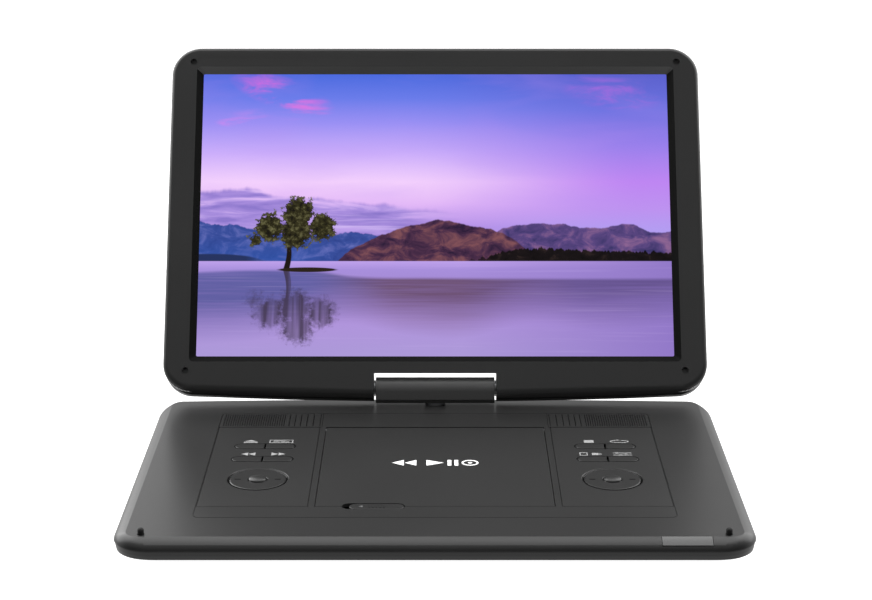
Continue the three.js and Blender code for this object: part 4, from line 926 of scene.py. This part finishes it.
# the water: lilac, with the hills' reflections drawn out into soft dark bands
WATER = [(0.0, "#ac99d8"), (0.12, "#b094dc"), (0.2, "#9f84cc"), (0.3, "#a88fdc"), (0.33, "#bfa2ec")]
water = lake.mix(lake.span(lake_u, 0.55, 1.0), ramp(lake_v, WATER), paint("#9279c8"))
ripple = lake.noise(stretched(0.6, 30.0), 3.0, 3.0)
mirrored = profile(
    (0.0, 0.1), (0.15, 0.12), (0.3, 0.17), (0.45, 0.13), (0.55, 0.12), (0.7, 0.17), (0.85, 0.15), (1.0, 0.17)
)
top_edge = profile((0.0, 0.29), (0.25, 0.292), (0.33, 0.275), (0.5, 0.27), (1.0, 0.268))
above_mirrored = lake.span(lake.math("SUBTRACT", lake_v, mirrored), -0.06, 0.09)
shade = lake.math("MULTIPLY", below(top_edge, 0.008), above_mirrored)
shade = lake.math("MULTIPLY", shade, lake.span(ripple, 0.25, 0.6, 0.7, 1.0))
shade_colour = lake.mix(
    lake.span(lake_u, 0.22, 0.42, smooth=True), paint("#52579a"),
    lake.mix(lake.span(lake_u, 0.55, 0.8), paint("#634660"), paint("#5c4b84")),
)
water = lake.mix(lake.math("MULTIPLY", shade, 0.92), water, shade_colour)
water = lake.mix(lake.span(ripple, 0.55, 0.8, 0.0, 0.22), water, paint("#d0b6f4"))
colour = lake.mix(below(WATERLINE, 0.0015), colour, water)

# a round-crowned tree on a sandbar, and its reflection
TREE_ACROSS, TREE_FOOT = 0.185, 0.3
LEAF_LOBES = [(-0.035, 0.15, 0.058), (0.025, 0.2, 0.062), (0.075, 0.15, 0.056), (0.02, 0.13, 0.064)]
LEAF_LOBES += [(-0.065, 0.105, 0.03)]  # across, up and radius of each


def tree(flip, blur):
    """The tree's cover in the picture: lobes of leaves over a tapering trunk, upright or mirrored."""
    lean = lake.math("MULTIPLY", lake.math("SUBTRACT", lake_v, TREE_FOOT), flip)
    cover = None
    for across, upwards, radius in LEAF_LOBES:
        x = lake.math("MULTIPLY", lake.math("SUBTRACT", lake_u, TREE_ACROSS + across), ASPECT)
        y = lake.math("SUBTRACT", lean, upwards)
        far = lake.math("SQRT", lake.math("ADD", lake.math("MULTIPLY", x, x), lake.math("MULTIPLY", y, y)))
        lobe = lake.math("SUBTRACT", radius, far)
        cover = lobe if cover is None else lake.math("MAXIMUM", cover, lobe)
    leaves = lake.noise(stretched(1.0, 1.0, 2.0), 46.0, 4.0, 0.7)
    fringed = lake.math("ADD", cover, lake.span(leaves, 0.3, 0.7, -0.03, 0.012))
    crown = lake.span(fringed, -blur, blur, smooth=True)
    sway = lake.math("MULTIPLY", lake.math("SINE", lake.math("MULTIPLY", lean, 26.0)), 0.006)
    x = lake.math("ABSOLUTE", lake.math("SUBTRACT", lake.math("SUBTRACT", lake_u, TREE_ACROSS), sway))
    width = lake.span(lean, 0.0, 0.15, 0.0065, 0.003)
    trunk = lake.span(lake.math("SUBTRACT", width, x), -0.0008, 0.0008)
    inside = lake.math("MULTIPLY", lake.span(lean, 0.0, 0.002), lake.span(lean, 0.17, 0.15))
    return crown, lake.math("MULTIPLY", trunk, inside), leaves


crown, trunk, leaves = tree(-1.0, 0.02)
echo = lake.math("MAXIMUM", crown, trunk)
shimmer = lake.span(lake.noise(stretched(1.0, 0.06, 9.0), 38.0, 2.0), 0.35, 0.62, 0.35, 0.9)
echo = lake.math("MULTIPLY", echo, shimmer)
colour = lake.mix(echo, colour, paint("#3f3448"))
crown, trunk, leaves = tree(1.0, 0.004)
colour = lake.mix(trunk, colour, paint("#1d1512"))
colour = lake.mix(crown, colour, ramp(leaves, [(0.38, "#17140f"), (0.52, "#34311b"), (0.68, "#6f6c4a")]))
bar = patch(TREE_ACROSS + 0.045, TREE_FOOT, 0.075, 0.01)
colour = lake.mix(lake.span(bar, 0.1, 0.4), colour, paint("#2a2118"))
lake.feed(lake.shader, "Emission Color", colour)
lake.feed(lake.shader, "Emission Strength", 1.0)
picture = surface(
    "display_picture",
    on_display((share_u - 0.5) * LIT_WIDTH, LIT_BOTTOM + share_v * LIT_HEIGHT, PICTURE_PROUD),
    lake.material,
    uv=np.stack(np.broadcast_arrays(share_u, share_v), -1),
)

# the bezel's inner slopes round the lit area carry painted light and shade: near-black painted shade on
# the slopes at the sides and the bottom, a paler grey, painted light, on the slope at the top
slope_painted_shade = moulded("window_slope_painted_shade", 12, 0.6, gloss=0.1)
bezel = scene.objects["screen_bezel_skin"]
bezel.data.materials.append(slope_painted_shade)
WINDOW_SLOPE_REACH = 10 * MM
FRONT_FACING, TOP_SLOPE_FACING = 0.96, -0.3  # cosines with the way out of and up the display
sides_of = bezel.data.polygons
facing = np.zeros(len(sides_of) * 3)
centre = np.zeros(len(sides_of) * 3)
sides_of.foreach_get("normal", facing)
sides_of.foreach_get("center", centre)
facing, centre = facing.reshape(-1, 3), centre.reshape(-1, 3) - hinge_point
across, height = centre @ right, centre @ up
near = (np.abs(across) < LIT_WIDTH / 2 + WINDOW_SLOPE_REACH) & (height > LIT_BOTTOM - WINDOW_SLOPE_REACH)
near &= height < LIT_BOTTOM + LIT_HEIGHT + WINDOW_SLOPE_REACH
slope, top_slope = near & (facing @ out < FRONT_FACING), facing @ up < TOP_SLOPE_FACING
# the top slope's paler grey is painted light
bezel.data.materials.append(moulded("window_top_painted_light", 66, 0.34))
sides_of.foreach_set("material_index", np.where(slope, np.where(top_slope, 2, 1), 0).astype(np.int32))
picture.visible_glossy = False
picture.visible_diffuse = False
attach(picture, "screen")

# ---------------------------------------------------------------------------------------------
# Edge bead: a thin polished bead that runs round the display where the bezel is widest, put there as a
# painted highlight: it stands in for the fine bright line of light along the bezel's rounded edge. Its path
# is the bezel's own widest ring.
highlight_bead_metal = Finish("edge_highlight_bead", Roughness=0.2, Metallic=1.0)
polish = highlight_bead_metal.noise(highlight_bead_metal.place(), 40.0)
highlight_bead_metal.feed(highlight_bead_metal.shader, "Base Color", highlight_bead_metal.mix(polish, grey(205), grey(218)))
BEAD_RADIUS = 0.45 * MM
BEAD_STOP = 165.0  # below, the bead ends this far from the middle, in millimetres
BEAD_STEPS = 10
ON_RING = 0.02 * MM
shell = frame["nodes"]["screen_bezel"].data
verts = np.zeros(len(shell.vertices) * 3)
shell.vertices.foreach_get("co", verts)
flat = (verts.reshape(-1, 3) - hinge_point) @ np.stack([right, up, out], -1)
sideways = np.abs(flat[:, 0])
bead_proud = flat[sideways > sideways.max() - ON_RING][:, 2].max()
ring = flat[np.abs(flat[:, 2] - bead_proud) < ON_RING][:, :2]
ring = np.unique(np.round(ring / MM, 2), axis=0)
middle_height = (ring[:, 1].min() + ring[:, 1].max()) / 2
ring = ring[convex_hull_2d(ring.tolist())]
ring = ring[(np.abs(ring[:, 0]) > BEAD_STOP) | (ring[:, 1] > middle_height)]
from_foot = np.mod(np.arctan2(ring[:, 1] - middle_height, ring[:, 0]) + np.pi / 2, 2 * np.pi)
ring = ring[np.argsort(from_foot)]
ring = np.vstack([ring[:1], ring, ring[-1:]]) * MM
# tube: at each place of the path, a circle spanned by the way out of the outline and the way forward
along_path = np.gradient(ring, axis=0)
along_path /= np.linalg.norm(along_path, axis=1, keepdims=True)
outward = np.stack([along_path[:, 1], -along_path[:, 0]], -1)
radius = np.full(len(ring), BEAD_RADIUS)
radius[[0, -1]] = 0.0
turn_round = np.linspace(0, 2 * np.pi, BEAD_STEPS, endpoint=False)
reach = radius[:, None] * np.cos(turn_round)
centre_line = ring[:, None, :] + outward[:, None, :] * (reach[..., None] + BEAD_RADIUS * 0.2)
proud = bead_proud + radius[:, None] * np.sin(turn_round)
bead_points = on_display(centre_line[..., 0], centre_line[..., 1], proud)
bead = surface("display_edge_bead", bead_points, highlight_bead_metal.material, closed=True)
weld(bead.data)
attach(bead, "screen")

# ---------------------------------------------------------------------------------------------
# Back of the display: six screws that draw the rear cover to the bezel, a blank rating label stuck on
# the cover and two rows of vent slots, drawn as near-black films of painted shade on the cover.
BEHIND = -100 * MM
DISPLAY_SCREWS = [(-165, 30), (165, 30), (-172, 200), (172, 200), (0, 205), (0, 30)]
LABEL_HEIGHT, VENTS_ACROSS, VENTS_HEIGHT, VENT_SHADE_THICK = 120, 110, 70, 0.06 * MM


def on_cover(across, height):
    """The place on the rear cover at a distance across and a height up it, in millimetres."""
    return touch("screen_rear_cover", on_display(across * MM, height * MM, BEHIND), out)


for row, (across, height) in enumerate(DISPLAY_SCREWS):
    screw(f"display_screw_{row}", on_cover(across, height), -out, "screen", "shell_plastic")
place, plate = on_cover(0.0, LABEL_HEIGHT) + out * LABEL_LIFT, [block(-36, 36, -14, 14)]
raised("display_label", plate, place, -right, up, LABEL_THICK, label, "screen", "shell_plastic")
slot_shades = [block(x - 0.8, x + 0.8, -9, 9) for x in np.arange(11) * 4.5 - 22.5]
for side, way in (("left", -1), ("right", 1)):
    place, name = on_cover(way * VENTS_ACROSS, VENTS_HEIGHT) + out * LABEL_LIFT, "display_vent_shades_" + side
    raised(name, slot_shades, place, -right, up, VENT_SHADE_THICK, black_and_painted_shade, "screen", "shell_plastic")
